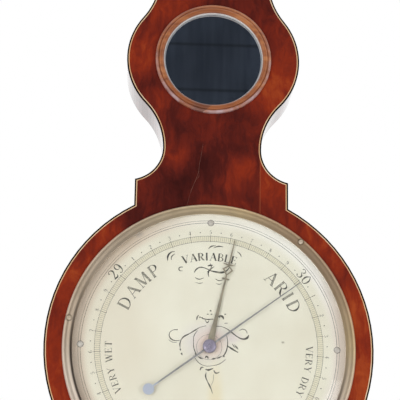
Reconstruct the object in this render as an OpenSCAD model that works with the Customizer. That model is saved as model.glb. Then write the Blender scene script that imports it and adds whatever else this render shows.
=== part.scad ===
// Wheel barometer in a banjo case. The wall is the plane y = 0, the front faces -Y and +Z is up.
// Sizes are in millimetres. The origin is the centre of the hanging hole, on the wall.

/* [Case] */
// Radius of the round dial part
case_r = 124.8; // [122:0.1:132]
// Depth from the wall to the front face
case_d = 38; // [38:0.5:46]
// Thickness of the front veneer
veneer_t = 1.4; // [0.8:0.1:2]
// Width of the ebony strip along the edge
edge_w = 1.2; // [0.6:0.1:2]
// Width of the boxwood line inside the ebony strip
line_w = 0.7; // [0.6:0.1:2]
// Width across the square shoulders above and below the dial
shoulder_w = 120; // [108:1:126]
// Width of the waist under the mirror
waist_w = 77.4; // [74:0.2:84]
// Height of the waist above the dial centre
waist_z = 157; // [152:0.5:164]
// Radius of the cove between waist and shoulder
cove_r = 27; // [25:0.5:32]
// Width of the bulge around the mirror
bulge_w = 138.6; // [130:0.2:146]
// Radius of the rounded side of the bulge
bulge_r = 56; // [46:0.5:62]
// Width of the neck above the mirror
neck_w = 90; // [84:0.5:96]
// Height of the neck above the dial centre
neck_z = 303; // [298:0.5:312]
// Radius of the cove between neck and trunk
neck_cove_r = 20; // [14:0.5:26]
// Width of the straight trunk
trunk_w = 100; // [97:0.5:112]
// Height of the trunk's top above the dial centre
trunk_top = 725; // [722:0.5:760]
// Width of the neck of the base
base_neck_w = 92; // [84:0.5:100]
// Radius of the cove between the lower shoulders and the base
base_cove_r = 15; // [14.5:0.5:22]
// Depth of that cove's centre below the dial centre
base_cove_z = 143; // [141:0.5:150]
// Depth of the round base's centre below the dial centre
base_drop = 134; // [130:0.5:140]

/* [Mirror] */
// Height of the mirror above the dial centre
mirror_z = 233; // [228:0.5:238]
// Distance by which the turned ring is larger than the glass
mirror_ring_over = 3.5; // [2.5:0.1:6]
// Width of the turned ring
mirror_ring_w = 6.6; // [5:0.1:9]
// Height of the turned ring above the front
mirror_ring_h = 3.6; // [2.5:0.1:6]
// Radius of the glass
mirror_r = 43; // [38:0.1:50]
// Thickness of the glass
mirror_t = 3; // [2:0.1:3.5]
// Width of the ground edge of the glass
mirror_bevel = 2.6; // [2:0.1:8]
// Thickness of the slip between glass and ring
slip_t = 1.6; // [1:0.1:2]

/* [Pediment] */
// Height of the cornice
cornice_h = 12; // [9:0.5:16]
// Overhang of the cornice
cornice_out = 7.5; // [6:0.5:10]
// Thickness of the pediment from front to back
ped_t = 18; // [14:0.5:20]
// Width of the swan-neck moulding
band_w = 9; // [7:0.5:11]
// Projection of the swan-neck moulding in front of the board
band_out = 7; // [4:0.5:10]
// Rise of the swan neck
ped_rise = 36; // [30:0.5:40]
// Distance of the rosettes from the middle
scroll_x = 19.5; // [19:0.5:24]
// Radius of the rosettes
rosette_r = 9.5; // [8:0.1:10]
// Width of the finial's plinth
plinth_w = 15; // [12:0.5:17]
// Height of the finial's plinth
plinth_h = 30; // [24:0.5:40]
// Radius of the finial's urn
finial_r = 8.5; // [6:0.1:10]
// Height of the finial above its plinth
finial_h = 44; // [36:0.5:56]

/* [Thermometer] */
// Height of the thermometer's middle above the dial centre
thermo_z = 520; // [515:1:535]
// Length of the glazed frame
thermo_frame_l = 300; // [260:1:340]
// Width of the glazed frame
thermo_frame_w = 54; // [50:0.5:62]
// Width of the frame's moulding
thermo_moulding_w = 8; // [7:0.1:10]
// Height of the frame above the front
thermo_frame_h = 4.5; // [3.5:0.1:7]
// Thickness of the pane
pane_t = 2; // [1.5:0.1:2.5]
// Width of the pane's seat on the front
pane_seat = 2; // [1.5:0.1:3]
// Depth of the thermometer's recess
thermo_recess = 14; // [13.5:0.1:15]
// Thickness of the scale plate
scale_t = 1.5; // [1:0.1:2]
// Radius of the glass tube
stem_r = 2.5; // [2:0.1:3]
// Radius of the bulb
bulb_r = 4.8; // [4:0.1:5]
// Height of the spirit as a share of the tube's length
spirit_share = 0.55; // [0.2:0.01:0.9]

/* [Dial] */
// Radius of the silvered dial plate
dial_r = 105.6; // [92:0.1:114]
// Thickness of the dial plate
dial_t = 2; // [1.5:0.1:2.5]
// Depth of the dial's face behind the front
dial_sink = 4; // [3:0.1:5]
// Width of the bezel outside the glass
bezel_w = 5.6; // [5.2:0.1:7]
// Width of the bezel's lip over the glass
lip_w = 2.1; // [1.8:0.1:2.6]
// Height of the bezel above the front
bezel_h = 3.5; // [3.3:0.1:4.5]
// Distance by which the glass is smaller than the dial
glass_under = 0.2; // [0.1:0.05:0.4]
// Thickness of the glass
glass_t = 2; // [1.6:0.1:2.1]
// Rise of the domed glass
glass_rise = 6; // [4:0.5:12]
// Height of the spacing ring between the dial and the glass
ring_h = 3.5; // [3.2:0.1:3.7]
// Distance of the bezel screws from the bezel's edge
bezel_screw_in = 2.9; // [2.6:0.1:3.3]
// Distance of the dial screws from the dial's edge
dial_screw_in = 8.3; // [6:0.1:9]

/* [Hands] */
// Angle of the indicating hand, clockwise from the top
indicator_angle = 53.6; // [-150:0.1:150]
// Length of the indicating hand from the centre to its tip
indicator_l = 85.6; // [70:0.1:90]
// Distance of the counterpoise from the centre
tail_l = 56; // [40:0.1:70]
// Radius of the counterpoise
tail_r = 4.2; // [2.5:0.1:6]
// Angle of the set hand, clockwise from the top
set_angle = 12.6; // [-180:0.1:180]
// Length of the set hand
set_l = 85.8; // [75:0.1:90]
// Thickness of a hand
hand_t = 0.7; // [0.5:0.05:1]
// Radius of the indicating hand's boss
boss_r = 5.2; // [4:0.1:7]

/* [Movement] */
// Radius of the arbor
arbor_r = 1.5; // [1.3:0.05:1.6]
// Radius of the rear pivot
pivot_r = 0.6; // [0.4:0.05:0.8]
// Radius at which the threads run on the pulley
thread_run_r = 7; // [6.4:0.1:7.4]
// Radius of the pulley's rims
pulley_r = 8.3; // [8:0.1:9]
// Radius of a silk thread
thread_r = 0.2; // [0.15:0.01:0.25]
// Thickness of the movement bar
bar_t = 2; // [1.6:0.1:2.4]
// Width of the movement bar
bar_w = 12; // [10:0.5:14]
// Radius of the opening for the wheel behind the dial
wheel_hole_r = 23; // [22.5:0.1:25]
// Running clearance of a bearing
run_gap = 0.05; // [0.02:0.01:0.09]

/* [Set hand drive] */
// Teeth of the crown wheel
wheel_teeth = 40; // [36:4:40]
// Teeth of the pinion
pinion_teeth = 10; // [9:1:10]
// Tooth module
tooth_m = 0.8; // [0.78:0.01:0.82]
// Radius of the upright rod
rod_r = 1.5; // [1.2:0.05:1.7]
// Outer radius of the set hand's pipe
pipe_r = 2.9; // [2.6:0.05:3.2]
// Radius of the bone knob
knob_r = 8; // [6:0.1:11]
// Height of the bone knob
knob_h = 13; // [10:0.5:18]

/* [Siphon] */
// Outer radius of the glass tube
tube_r = 4.5; // [4.2:0.05:4.5]
// Radius of the tube's bore
tube_bore_r = 2.75; // [2.5:0.05:2.9]
// Distance of the long limb from the middle
long_limb_x = 16; // [15.7:0.1:16.2]
// Height of the short limb's open end, below the dial centre
short_limb_top = 60; // [56:0.5:64]
// Depth of the bend's centre below the dial centre
bend_z = 138; // [132:0.5:139]
// Depth of the lower mercury level below the dial centre
mercury_low = 110.4; // [106:0.1:114]
// Height of the mercury column
mercury_h = 762; // [720:0.5:780]
// Radius of the float
float_r = 2.2; // [1.8:0.05:2.3]
// Length of the float
float_l = 12; // [8:0.5:14]
// Outer radius of the counterweight's guide tube
guide_r = 3.5; // [3.2:0.05:3.5]
// Wall of the guide tube
guide_wall = 0.8; // [0.6:0.05:1]
// Length of the guide tube
guide_l = 75; // [72:0.5:80]
// Radius of the counterweight
weight_r = 2; // [1.6:0.05:2.1]
// Height of a tube block
cradle_h = 14; // [10:0.5:18]
// Thickness of a strap
strap_t = 0.7; // [0.5:0.05:0.8]

/* [Level] */
// Depth of the spirit level below the dial centre
level_z = 152; // [150:0.5:155]
// Length of the level's plate
level_w = 70; // [64:0.5:74]
// Height of the level's plate
level_h = 15; // [13:0.5:16]
// Thickness of the level's plate
level_t = 1.6; // [1.2:0.1:2.4]
// Radius of the vial
vial_r = 4.4; // [3.8:0.1:4.8]
// Length of the vial
vial_l = 44; // [40:0.5:46]

/* [Back] */
// Width of the trough for the tube
trough_w = 50; // [49.6:0.1:51]
// Depth of the trough from the wall
trough_d = 20; // [19.5:0.1:20.3]
// Width of the back door
door_w = 54; // [53.5:0.1:55]
// Thickness of the back door
door_t = 4; // [3.5:0.1:4.4]
// Depth of the door's back face behind the wall plane
door_sink = 2; // [1.9:0.05:2.1]
// Gap along the free edges of the door
door_gap = 0.8; // [0.6:0.05:1.2]
// Length of a hinge
hinge_l = 34; // [28:0.5:42]
// Width of a hinge leaf
leaf_w = 9; // [8:0.5:10]
// Thickness of a hinge leaf
leaf_t = 0.9; // [0.7:0.05:1]
// Radius of a hinge knuckle
knuckle_r = 1.35; // [1.2:0.05:1.4]
// Radius of a hinge pin
hinge_pin_r = 0.7; // [0.5:0.05:0.8]
// Length of the turn button
button_l = 20; // [16:0.5:22]
// Width of the turn button
button_w = 7; // [6:0.5:9]

/* [Hanging plate] */
// Radius of the hanging hole
hook_r = 3.2; // [2.5:0.1:4]
// Height of the hanging hole above the trunk's top
hook_rise = 14; // [11:0.5:16]
// Width of the plate
hook_w = 28; // [24:0.5:34]
// Thickness of the plate
hook_t = 2; // [1.5:0.1:2]
// Length of the plate that is let into the case
hook_let = 26; // [24:0.5:34]

/* [Screws] */
// Radius of a small screw's shank
shank_r = 1.1; // [0.9:0.05:1.2]
// Radius of a small screw's head
head_r = 2.2; // [1.9:0.05:2.3]
// Height of a small screw's head
head_h = 1.2; // [0.8:0.05:1.4]

/* [Clearances] */
// Gap between pieces that are fitted together and stay still
fit_gap = 0.05; // [0.02:0.01:0.1]
// Side gap of a part let into wood
let_gap = 0.2; // [0.1:0.05:0.3]
// Least gap between pieces that pass each other
pass_gap = 0.3; // [0.2:0.05:0.4]

/* [Hidden] */
$fn = 64;

// Cuts run this far past the faces they open
over = 1;

// Outline of the case: half widths, and the radii that make its curves run into each other
shoulder_x = shoulder_w / 2;
waist_x = waist_w / 2;
bulge_x = bulge_w / 2;
neck_x = neck_w / 2;
trunk_x = trunk_w / 2;
base_neck_x = base_neck_w / 2;
function s_radii(dx, dz) = (dx * dx + dz * dz) / (2 * dx);
low_r = s_radii(bulge_x - waist_x, mirror_z - waist_z) - bulge_r;
high_r = s_radii(bulge_x - neck_x, neck_z - mirror_z) - bulge_r;
low_a = asin((mirror_z - waist_z) / (low_r + bulge_r));
high_a = asin((neck_z - mirror_z) / (high_r + bulge_r));
base_r = norm([base_neck_x, base_cove_z - base_drop]);
base_bottom = -base_drop - base_r;

// Depths from the wall, back to front
veneer_d = case_d - veneer_t;
dial_d = case_d - dial_sink;
dial_back = dial_d - dial_t;
door_in = door_sink + door_t;
bar_back = trough_d - bar_t;
wheel_t = 1.4;
wheel_front = dial_back - 1.6;
wheel_back = wheel_front - wheel_t;
pinion_r = tooth_m * pinion_teeth / 2;
wheel_r = tooth_m * wheel_teeth / 2;
addendum = 0.85 * tooth_m;
dedendum = 1.25 * tooth_m;
rod_d = wheel_back - dedendum - pinion_r;
tube_d = door_in + 6;
guide_d = tube_d + 1;
strap_d = tube_d - tube_r - fit_gap - strap_t;
hook_z = trunk_top + hook_rise;
glass_back = dial_d + ring_h;
lip_back = glass_back + glass_t;
mirror_ring_r = mirror_r + mirror_ring_over;
mirror_in_r = mirror_ring_r - mirror_ring_w;

// Dial, glass and bezel, each from the one inside it
glass_r = dial_r - glass_under;
bezel_r = glass_r + bezel_w;
bezel_lip_r = glass_r - lip_w;
bezel_screw_r = bezel_r - bezel_screw_in;
dial_screw_r = dial_r - dial_screw_in;

// Hands, from the dial outwards
set_hand_d = dial_d + 1.4;
pipe_end = set_hand_d + hand_t + 0.4;
indicator_d = pipe_end + 1;
arbor_end = indicator_d + hand_t + 0.6;

// Points of a round stretch, without its first point when skip is 1
function arc(c, r, a0, a1, n, skip = 0) =
    [for (i = [skip:n]) let (a = a0 + (a1 - a0) * i / n) c + r * [cos(a), sin(a)]];

// Right side of the stem and base, from the lowest point up, drawn in by e
function side(e) = concat(
    arc([0, -base_drop], base_r - e, -90, -asin((base_cove_z - base_drop) / (base_r - e)), 16),
    arc([base_neck_x + base_cove_r, -base_cove_z], base_cove_r + e, 180,
        acos((shoulder_x - base_neck_x - base_cove_r - e) / (base_cove_r + e)), 8, 1),
    arc([waist_x + cove_r, waist_z], cove_r + e,
        360 - acos((shoulder_x - waist_x - cove_r - e) / (cove_r + e)), 180, 14),
    arc([waist_x + low_r, waist_z], low_r + e, 180, 180 - low_a, 10, 1),
    arc([bulge_x - bulge_r, mirror_z], bulge_r - e, -low_a, high_a, 20, 1),
    arc([neck_x + high_r, neck_z], high_r + e, 180 + high_a, 180, 10, 1),
    arc([neck_x + neck_cove_r, neck_z], neck_cove_r + e, 180,
        acos((trunk_x - neck_x - neck_cove_r - e) / (neck_cove_r + e)), 6, 1),
    [[trunk_x - e, trunk_top - e]]
);
function both(p) = concat(p, [for (i = [len(p) - 1:-1:0]) if (p[i][0] > 0.001) [-p[i][0], p[i][1]]]);
function flip(p) = [for (i = [len(p) - 1:-1:0]) p[i]];

// Front view of the case, drawn in by e
module outline(e) {
    circle(r = case_r - e, $fn = 180);
    polygon(both(side(e)));
}

// Everything is drawn about the dial centre and lifted to the hanging hole
module place() {
    translate([0, 0, -hook_z])
        children();
}

// A front-view shape between two depths
module slab(d0, d1) {
    translate([0, -d0, 0])
        rotate([90, 0, 0])
            linear_extrude(d1 - d0)
                children();
}

// A side-view shape, drawn as y and z, between two widths
module along_x(x0, x1) {
    translate([x0, 0, 0])
        rotate([90, 0, 90])
            linear_extrude(x1 - x0)
                children();
}

// A solid turned about a front-to-back axis, from radius and depth
module turned(profile, x = 0, z = 0) {
    translate([x, 0, z])
        rotate([90, 0, 0])
            rotate_extrude($fn = 96)
                polygon(profile);
}

// A solid turned about an upright axis, from radius and height
module upright(profile, x = 0, d = 0) {
    translate([x, -d, 0])
        rotate_extrude()
            polygon(profile);
}

module bore(r, d0, d1, x = 0, z = 0) {
    translate([x, -d0, z])
        rotate([90, 0, 0])
            cylinder(h = d1 - d0, r = r);
}

module post(r, z0, z1, x = 0, d = 0) {
    translate([x, -d, z0])
        cylinder(h = z1 - z0, r = r);
}

module block(x0, x1, d0, d1, z0, z1) {
    translate([x0, -d1, z0])
        cube([x1 - x0, d1 - d0, z1 - z0]);
}

// Round-headed slotted screw with its head on seat_d; face is 1 towards the front and -1 towards the wall
module screw(x, z, seat_d, face, length, size = 1) {
    hr = head_r * size;
    hh = head_h * size;
    sr = shank_r * size;
    translate([x, -seat_d, z])
        rotate([90 * face, 0, 0])
            difference() {
                rotate_extrude($fn = 32)
                    polygon([[0, -length], [sr, -length], [sr, 0], [hr, 0], [hr, 0.35 * hh],
                             [0.75 * hr, 0.8 * hh], [0.4 * hr, hh], [0, hh]]);
                translate([-hr - over, -0.15 * hr, 0.55 * hh])
                    cube([2 * hr + 2 * over, 0.3 * hr, hh]);
            }
}

// Places of the screws, as x and z
bezel_screw_at = [for (a = [40:120:280]) bezel_screw_r * [sin(a), cos(a)]];
dial_screw_at = [for (a = [0:90:270]) dial_screw_r * [sin(a), cos(a)]];
frame_screw_at = [for (s = [-1, 1]) [0, thermo_z + s * (thermo_frame_l - thermo_moulding_w) / 2]];
level_screw_at = [for (s = [-1, 1]) [s * (level_w / 2 - level_h / 2), -level_z]];
bar_l = 2 * (wheel_hole_r + 12);
bar_screw_x = bar_w / 2 - head_r;
bar_screw_z = wheel_hole_r + 6;
bar_screw_at = [[0, bar_screw_z], [-bar_screw_x, -bar_screw_z], [bar_screw_x, -bar_screw_z]];
bezel_screw_size = 0.85;
wood_grip = 9;
dial_grip = 5;

// Back: hinge line, heights of the hinges and the button
hinge_x = -door_w / 2 - door_gap / 2;
hinge_d = door_sink - leaf_t / 2;
door_foot = 166;
door_top_gap = 4;
low_hinge = 95;
top_hinge = 60;
hinge_screw_in = 6;
hook_screw_in = 6;
hook_screw_drop = 8;
button_gap = 1;
door_ledge = 3;
door_z0 = -door_foot;
door_z1 = trunk_top - hook_let - door_top_gap;
hinge_at = [-low_hinge, mirror_z, door_z1 - top_hinge];
button_x = door_w / 2 + door_gap + button_w / 2 + button_gap;
button_z = mirror_z;
hinge_screw_dz = hinge_l / 2 - hinge_screw_in;
leaf_screw_x = 0.6 * leaf_w + knuckle_r / 2;
hook_screw_at = [for (s = [-1, 1]) [s * (hook_w / 2 - hook_screw_in), trunk_top - hook_screw_drop]];
screw_short = 0.5;
back_screw_size = 0.7;
back_grip = 7;

// Glazed thermometer
thermo_in_w = thermo_frame_w - 2 * thermo_moulding_w;
thermo_in_l = thermo_frame_l - 2 * thermo_moulding_w;
recess_w = thermo_in_w;
recess_l = thermo_in_l;
recess_d = case_d - thermo_recess;
scale_d = recess_d + scale_t;
stem_d = scale_d + bulb_r + 0.4;
stem_z0 = thermo_z - recess_l / 2 + 22;
stem_z1 = thermo_z + recess_l / 2 - 12;

// Openings in the front of the case
module front_openings() {
    bore(dial_r + fit_gap, dial_back, case_d + over, $fn = 180);
    bore(mirror_r + fit_gap, case_d - slip_t - mirror_t, case_d + over, 0, mirror_z);
    block(-recess_w / 2, recess_w / 2, recess_d, case_d + over,
          thermo_z - recess_l / 2, thermo_z + recess_l / 2);
    block(-vial_l / 2 - let_gap, vial_l / 2 + let_gap, case_d - 2 * vial_r - let_gap, case_d + over,
          -level_z - vial_r - let_gap, -level_z + vial_r + let_gap);
    for (p = concat(frame_screw_at, level_screw_at))
        bore(shank_r + fit_gap, case_d - wood_grip, case_d + over, p[0], p[1]);
    for (p = bezel_screw_at)
        bore(bezel_screw_size * shank_r + fit_gap, case_d - wood_grip, case_d + over, p[0], p[1]);
}

module case_carcass() {
    color("#5a2a1a")
        place()
            difference() {
                slab(0, veneer_d)
                    outline(0);
                front_openings();
                bore(wheel_hole_r, trough_d - over, dial_back + over);
                for (p = dial_screw_at)
                    bore(shank_r + fit_gap, dial_back - dial_grip, dial_back + over, p[0], p[1]);
                block(-trough_w / 2, trough_w / 2, -over, trough_d,
                      door_z0 + door_ledge, door_z1 - door_ledge);
                block(-door_w / 2 - door_gap, door_w / 2 + door_gap, -over, door_in,
                      door_z0 - door_gap, door_z1 + door_gap);
                post(rod_r + pass_gap, base_bottom - over, -wheel_hole_r + 2, 0, rod_d);
                post(bush_r + fit_gap, base_bottom - over, base_bottom + bush_l, 0, rod_d);
                for (p = bar_screw_at)
                    bore(shank_r + fit_gap, trough_d - over, trough_d + wood_grip, p[0], p[1]);
                for (z = hinge_at) {
                    block(hinge_x - leaf_w - let_gap, hinge_x, -over, door_sink,
                          z - hinge_l / 2 - let_gap, z + hinge_l / 2 + let_gap);
                    post(knuckle_r + pass_gap, z - hinge_l / 2 - let_gap, z + hinge_l / 2 + let_gap,
                         hinge_x, hinge_d);
                    for (s = [-1, 1])
                        bore(back_screw_size * shank_r + fit_gap, 0, door_sink + back_grip,
                             hinge_x - leaf_screw_x, z + s * hinge_screw_dz);
                }
                bore(button_l / 2 + pass_gap, -over, door_sink, button_x, button_z);
                bore(back_screw_size * shank_r + fit_gap, 0, door_sink + back_grip, button_x, button_z);
                block(-hook_w / 2 - let_gap, hook_w / 2 + let_gap, -over, hook_t,
                      trunk_top - hook_let - let_gap, trunk_top + over);
                for (p = hook_screw_at)
                    bore(back_screw_size * shank_r + fit_gap, 0, hook_t + back_grip, p[0], p[1]);
            }
}

module front_veneer() {
    color("#8a3a22")
        place()
            difference() {
                slab(veneer_d, case_d)
                    outline(edge_w + line_w);
                front_openings();
            }
}

module boxwood_stringing() {
    color("#e6c79a")
        place()
            slab(veneer_d, case_d)
                difference() {
                    outline(edge_w);
                    outline(edge_w + line_w);
                }
}

module ebony_edging() {
    color("#2a1a14")
        place()
            slab(veneer_d, case_d)
                difference() {
                    outline(0);
                    outline(edge_w);
                }
}

// Pediment: its depth, foot and the two arcs of each swan neck
ped_d = case_d - ped_t;
ped_z = trunk_top + cornice_h;
ped_x = trunk_x + cornice_out;
neck_dx = ped_x - scroll_x;
neck_a = 2 * atan(ped_rise / neck_dx);
swan_r = neck_dx / (2 * sin(neck_a));
under_r = swan_r + band_w / 2;
band_z = ped_z + band_w / 2;
scroll_z = band_z + ped_rise;
rosette_z = scroll_z + band_w / 2 - rosette_r;
plinth_z = ped_z + 14;
plinth_top = plinth_z + plinth_h;
finial_d = case_d - ped_t / 2;

// Overhang and height of the cornice, from its foot up
function cornice_profile() = concat(
    [[1.5, 0], [1.5, 0.16 * cornice_h]],
    [for (p = arc([cornice_out - 1, 0.16 * cornice_h], cornice_out - 3, 180, 90, 8)) p],
    [[cornice_out, 0.16 * cornice_h + cornice_out - 3], [cornice_out, cornice_h]]
);

module cornice() {
    p = cornice_profile();
    color("#7a3420")
        place()
            translate([0, 0, trunk_top])
                intersection() {
                    along_x(-trunk_w, trunk_w)
                        polygon(concat([[-ped_d, cornice_h], [-ped_d, 0]],
                                       [for (q = p) [-case_d - q[0], q[1]]]));
                    slab(0, 2 * case_d)
                        polygon(both([for (q = p) [trunk_x + q[0], q[1]]]));
                }
}

// Right half of the board under the swan neck
function ped_side() = concat(
    [[0, ped_z]],
    arc([ped_x, band_z + swan_r], under_r + fit_gap,
        270 - acos(under_r / (under_r + fit_gap)), 270 - neck_a, 12),
    arc([scroll_x, scroll_z - swan_r], swan_r - band_w / 2 - fit_gap, 90 - neck_a, 90, 10, 1),
    [[plinth_w / 2 + 4, scroll_z - band_w / 2 - 2], [plinth_w / 2 + 1, plinth_z], [0, plinth_z]]
);

module rosette_bores() {
    for (s = [-1, 1])
        bore(rosette_r + fit_gap, ped_d - over, case_d + 2 * band_out, s * scroll_x, rosette_z);
}

module pediment_board() {
    color("#8a3a22")
        place()
            difference() {
                slab(ped_d, case_d)
                    polygon(both(ped_side()));
                rosette_bores();
            }
}

// Section of the swan-neck moulding, grown by g: up from its middle line, then depth
function band_profile(g = 0) = let (h = band_w / 2, fillet = h - 1.2, foot = case_d + 0.3 * band_out) concat(
    [[-h - g, ped_d - g], [h + g, ped_d - g]],
    [[h + g, case_d + band_out + g], [fillet, case_d + band_out + g]],
    arc([fillet, foot], 0.7 * band_out + g, 90, 180, 6, 1),
    [[-h - g, foot + g]]
);

// Two arcs, and the short piece where one curve runs into the other
module swan_neck() {
    p = band_profile();
    turn = 0.25;
    tie = 0.3;
    tie_grow = 0.02;
    translate([ped_x, 0, band_z + swan_r])
        rotate([90, 0, 0])
            rotate([0, 0, 270 - neck_a + turn])
                rotate_extrude(angle = neck_a - turn)
                    polygon([for (q = p) [swan_r - q[0], q[1]]]);
    translate([scroll_x, 0, scroll_z - swan_r])
        rotate([90, 0, 0])
            rotate([0, 0, 90 - neck_a + turn])
                rotate_extrude(angle = neck_a - turn)
                    polygon([for (q = p) [swan_r + q[0], q[1]]]);
    translate([scroll_x + swan_r * sin(neck_a), 0, scroll_z - swan_r + swan_r * cos(neck_a)])
        rotate([0, neck_a, 0])
            along_x(-tie, tie)
                polygon([for (q = band_profile(tie_grow)) [-q[1], q[0]]]);
}

module swan_neck_mouldings() {
    color("#7a3420")
        place()
            difference() {
                union() {
                    swan_neck();
                    mirror([1, 0, 0])
                        swan_neck();
                }
                rosette_bores();
            }
}

module pediment_rosettes() {
    f = case_d + band_out + 1;
    r = rosette_r;
    color("#6a2a1a")
        place()
            for (s = [-1, 1])
                turned(concat(
                    [[0, ped_d], [r, ped_d], [r, f], [0.86 * r, f + 1], [0.72 * r, f], [0.66 * r, f - 1.5]],
                    [[0.42 * r, f - 1.5], [0.4 * r, f]],
                    arc([0, f - 0.4], 0.38 * r, 6, 90, 6)
                ), s * scroll_x, rosette_z);
}

module finial_plinth() {
    h = plinth_w / 2;
    cap = 1.5;
    profile = [[h, plinth_z], [h, plinth_top - 4], [h + cap, plinth_top - 2.5], [h + cap, plinth_top]];
    color("#7a3420")
        place()
            difference() {
                intersection() {
                    slab(ped_d, case_d)
                        polygon(both(profile));
                    along_x(-plinth_w, plinth_w)
                        polygon([for (p = both(profile)) [0.8 * p[0] - finial_d, p[1]]]);
                }
                post(2 + fit_gap, plinth_top - 9, plinth_top + over, 0, finial_d);
            }
}

// Turned urn with a spigot, a foot and a pointed lid
module finial() {
    r = finial_r;
    h = finial_h;
    color("#c8a04a")
        place()
            translate([0, 0, plinth_top])
                upright(concat(
                    [[0, -8], [2, -8], [2, 0], [0.8 * r, 0], [0.8 * r, 0.05 * h], [0.3 * r, 0.12 * h]],
                    [[0.3 * r, 0.16 * h], [0.5 * r, 0.18 * h]],
                    arc([0, 0.42 * h], r, -50, 35, 12),
                    [[0.9 * r, 0.56 * h], [0.9 * r, 0.59 * h], [0.55 * r, 0.64 * h], [0.25 * r, 0.74 * h]],
                    [[0.32 * r, 0.78 * h], [0.3 * r, 0.82 * h], [0.12 * r, 0.93 * h], [0, h]]
                ), 0, finial_d);
}

// Turned ring round the mirror: an outer bead, a quirk and a sloping inner face
module mirror_ring() {
    r = mirror_ring_r;
    w = mirror_ring_w;
    h = mirror_ring_h;
    bead = 0.2 * w;
    color("#a5623a")
        place()
            turned(concat(
                [[mirror_in_r, case_d], [r, case_d]],
                arc([r - bead, case_d + 0.45 * h], bead, 0, 180, 8),
                arc([r - 2 * bead - 0.3 * w, case_d + 0.55 * h], 0.3 * w, 0, 120, 8),
                [[mirror_in_r, case_d + 0.7 * h]]
            ), 0, mirror_z);
}

// Silvered slip: a flange over the glass and a thin lining of the ring's inner wall
module mirror_slip() {
    lining = 0.5;
    rise = 1.2;
    edge = 0.2;
    base = case_d - slip_t;
    front = case_d + rise;
    wall = mirror_in_r - fit_gap;
    low = wall - lining;
    color("#d8d8d4")
        place()
            turned([[low, base], [mirror_r, base], [mirror_r, case_d], [wall, case_d], [wall, front],
                    [low + edge, front], [low, front - edge]],
                   0, mirror_z);
}

module mirror_glass() {
    f = case_d - slip_t;
    rim_w = 2;
    rim_sink = 0.8;
    rim_slope = 0.2;
    color("#2a3038")
        place()
            turned([[0, f - mirror_t], [mirror_r, f - mirror_t], [mirror_r, f - rim_sink - rim_slope],
                    [mirror_r - rim_w, f - rim_sink], [mirror_r - rim_w - mirror_bevel, f], [0, f]],
                   0, mirror_z);
}

module thermometer_scale() {
    color("#d8d4c4")
        place()
            block(-recess_w / 2 + let_gap, recess_w / 2 - let_gap, recess_d, scale_d,
                  thermo_z - recess_l / 2 + let_gap, thermo_z + recess_l / 2 - let_gap);
}

bulb_wall = 0.6;
stem_bore = 0.6;

module thermometer_tube() {
    color("#d6e4ea")
        place()
            difference() {
                union() {
                    post(stem_r, stem_z0, stem_z1, 0, stem_d);
                    translate([0, -stem_d, stem_z0])
                        sphere(r = bulb_r);
                }
                post(stem_bore, stem_z0, stem_z1 - 4, 0, stem_d);
                translate([0, -stem_d, stem_z0])
                    sphere(r = bulb_r - bulb_wall);
            }
}

module thermometer_spirit() {
    color("#b02020")
        place() {
            translate([0, -stem_d, stem_z0])
                sphere(r = bulb_r - bulb_wall - fit_gap);
            post(stem_bore - fit_gap, stem_z0, stem_z0 + spirit_share * (stem_z1 - stem_z0), 0, stem_d);
        }
}

// Collars that hold the tube on the scale
module thermometer_clips() {
    wall = 0.8;
    clip_h = 5;
    color("#b89448")
        place()
            for (k = [0.12, 0.92]) {
                z = stem_z0 + k * (stem_z1 - stem_z0);
                difference() {
                    union() {
                        post(stem_r + wall, z, z + clip_h, 0, stem_d);
                        block(-wall, wall, scale_d, stem_d, z, z + clip_h);
                    }
                    post(stem_r + fit_gap, z - over, z + clip_h + over, 0, stem_d);
                }
            }
}

pane_w = recess_w + 2 * pane_seat;
pane_l = recess_l + 2 * pane_seat;

module thermometer_frame() {
    w = thermo_frame_w / 2;
    l = thermo_frame_l / 2;
    f = case_d + thermo_frame_h;
    round = arc([-2, f - 2], 2, 0, 90, 6);
    side = both(concat([[w, case_d]], [for (q = round) [w + q[0], q[1]]]));
    end = both(concat([[l, case_d]], [for (q = round) [l + q[0], q[1]]]));
    color("#b89448")
        place()
            translate([0, 0, thermo_z])
                difference() {
                    intersection() {
                        translate([0, 0, -l])
                            linear_extrude(2 * l)
                                polygon([for (p = side) [p[0], -p[1]]]);
                        along_x(-w, w)
                            polygon([for (p = end) [-p[1], p[0]]]);
                    }
                    block(-pane_w / 2 - fit_gap, pane_w / 2 + fit_gap,
                          case_d - over, case_d + pane_t + fit_gap,
                          -pane_l / 2 - fit_gap, pane_l / 2 + fit_gap);
                    block(-recess_w / 2, recess_w / 2, case_d - over, f + over, -recess_l / 2, recess_l / 2);
                    for (s = [-1, 1])
                        bore(shank_r + fit_gap, case_d - over, f + over, 0,
                             s * (thermo_frame_l - thermo_moulding_w) / 2);
                }
}

module thermometer_glass() {
    color("#cfe0e6", 0.4)
        place()
            block(-pane_w / 2, pane_w / 2, case_d, case_d + pane_t,
                  thermo_z - pane_l / 2, thermo_z + pane_l / 2);
}

module trim_screws() {
    color("#b89448")
        place() {
            for (p = frame_screw_at)
                screw(p[0], p[1], case_d + thermo_frame_h, 1, thermo_frame_h + wood_grip - over);
            for (p = level_screw_at)
                screw(p[0], p[1], case_d + level_t, 1, level_t + wood_grip - over);
        }
}

// Silvered dial
bush_bore = 5;

module dial_plate() {
    color("#ddd8c6")
        place()
            difference() {
                bore(dial_r, dial_back, dial_d, $fn = 180);
                bore(bush_bore + fit_gap, dial_back - over, dial_d + over);
                for (p = dial_screw_at)
                    bore(shank_r + fit_gap, dial_back - over, dial_d + over, p[0], p[1]);
            }
}

module dial_screws() {
    color("#b0a890")
        place()
            for (p = dial_screw_at)
                screw(p[0], p[1], dial_d, 1, dial_t + dial_grip - over);
}

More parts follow.
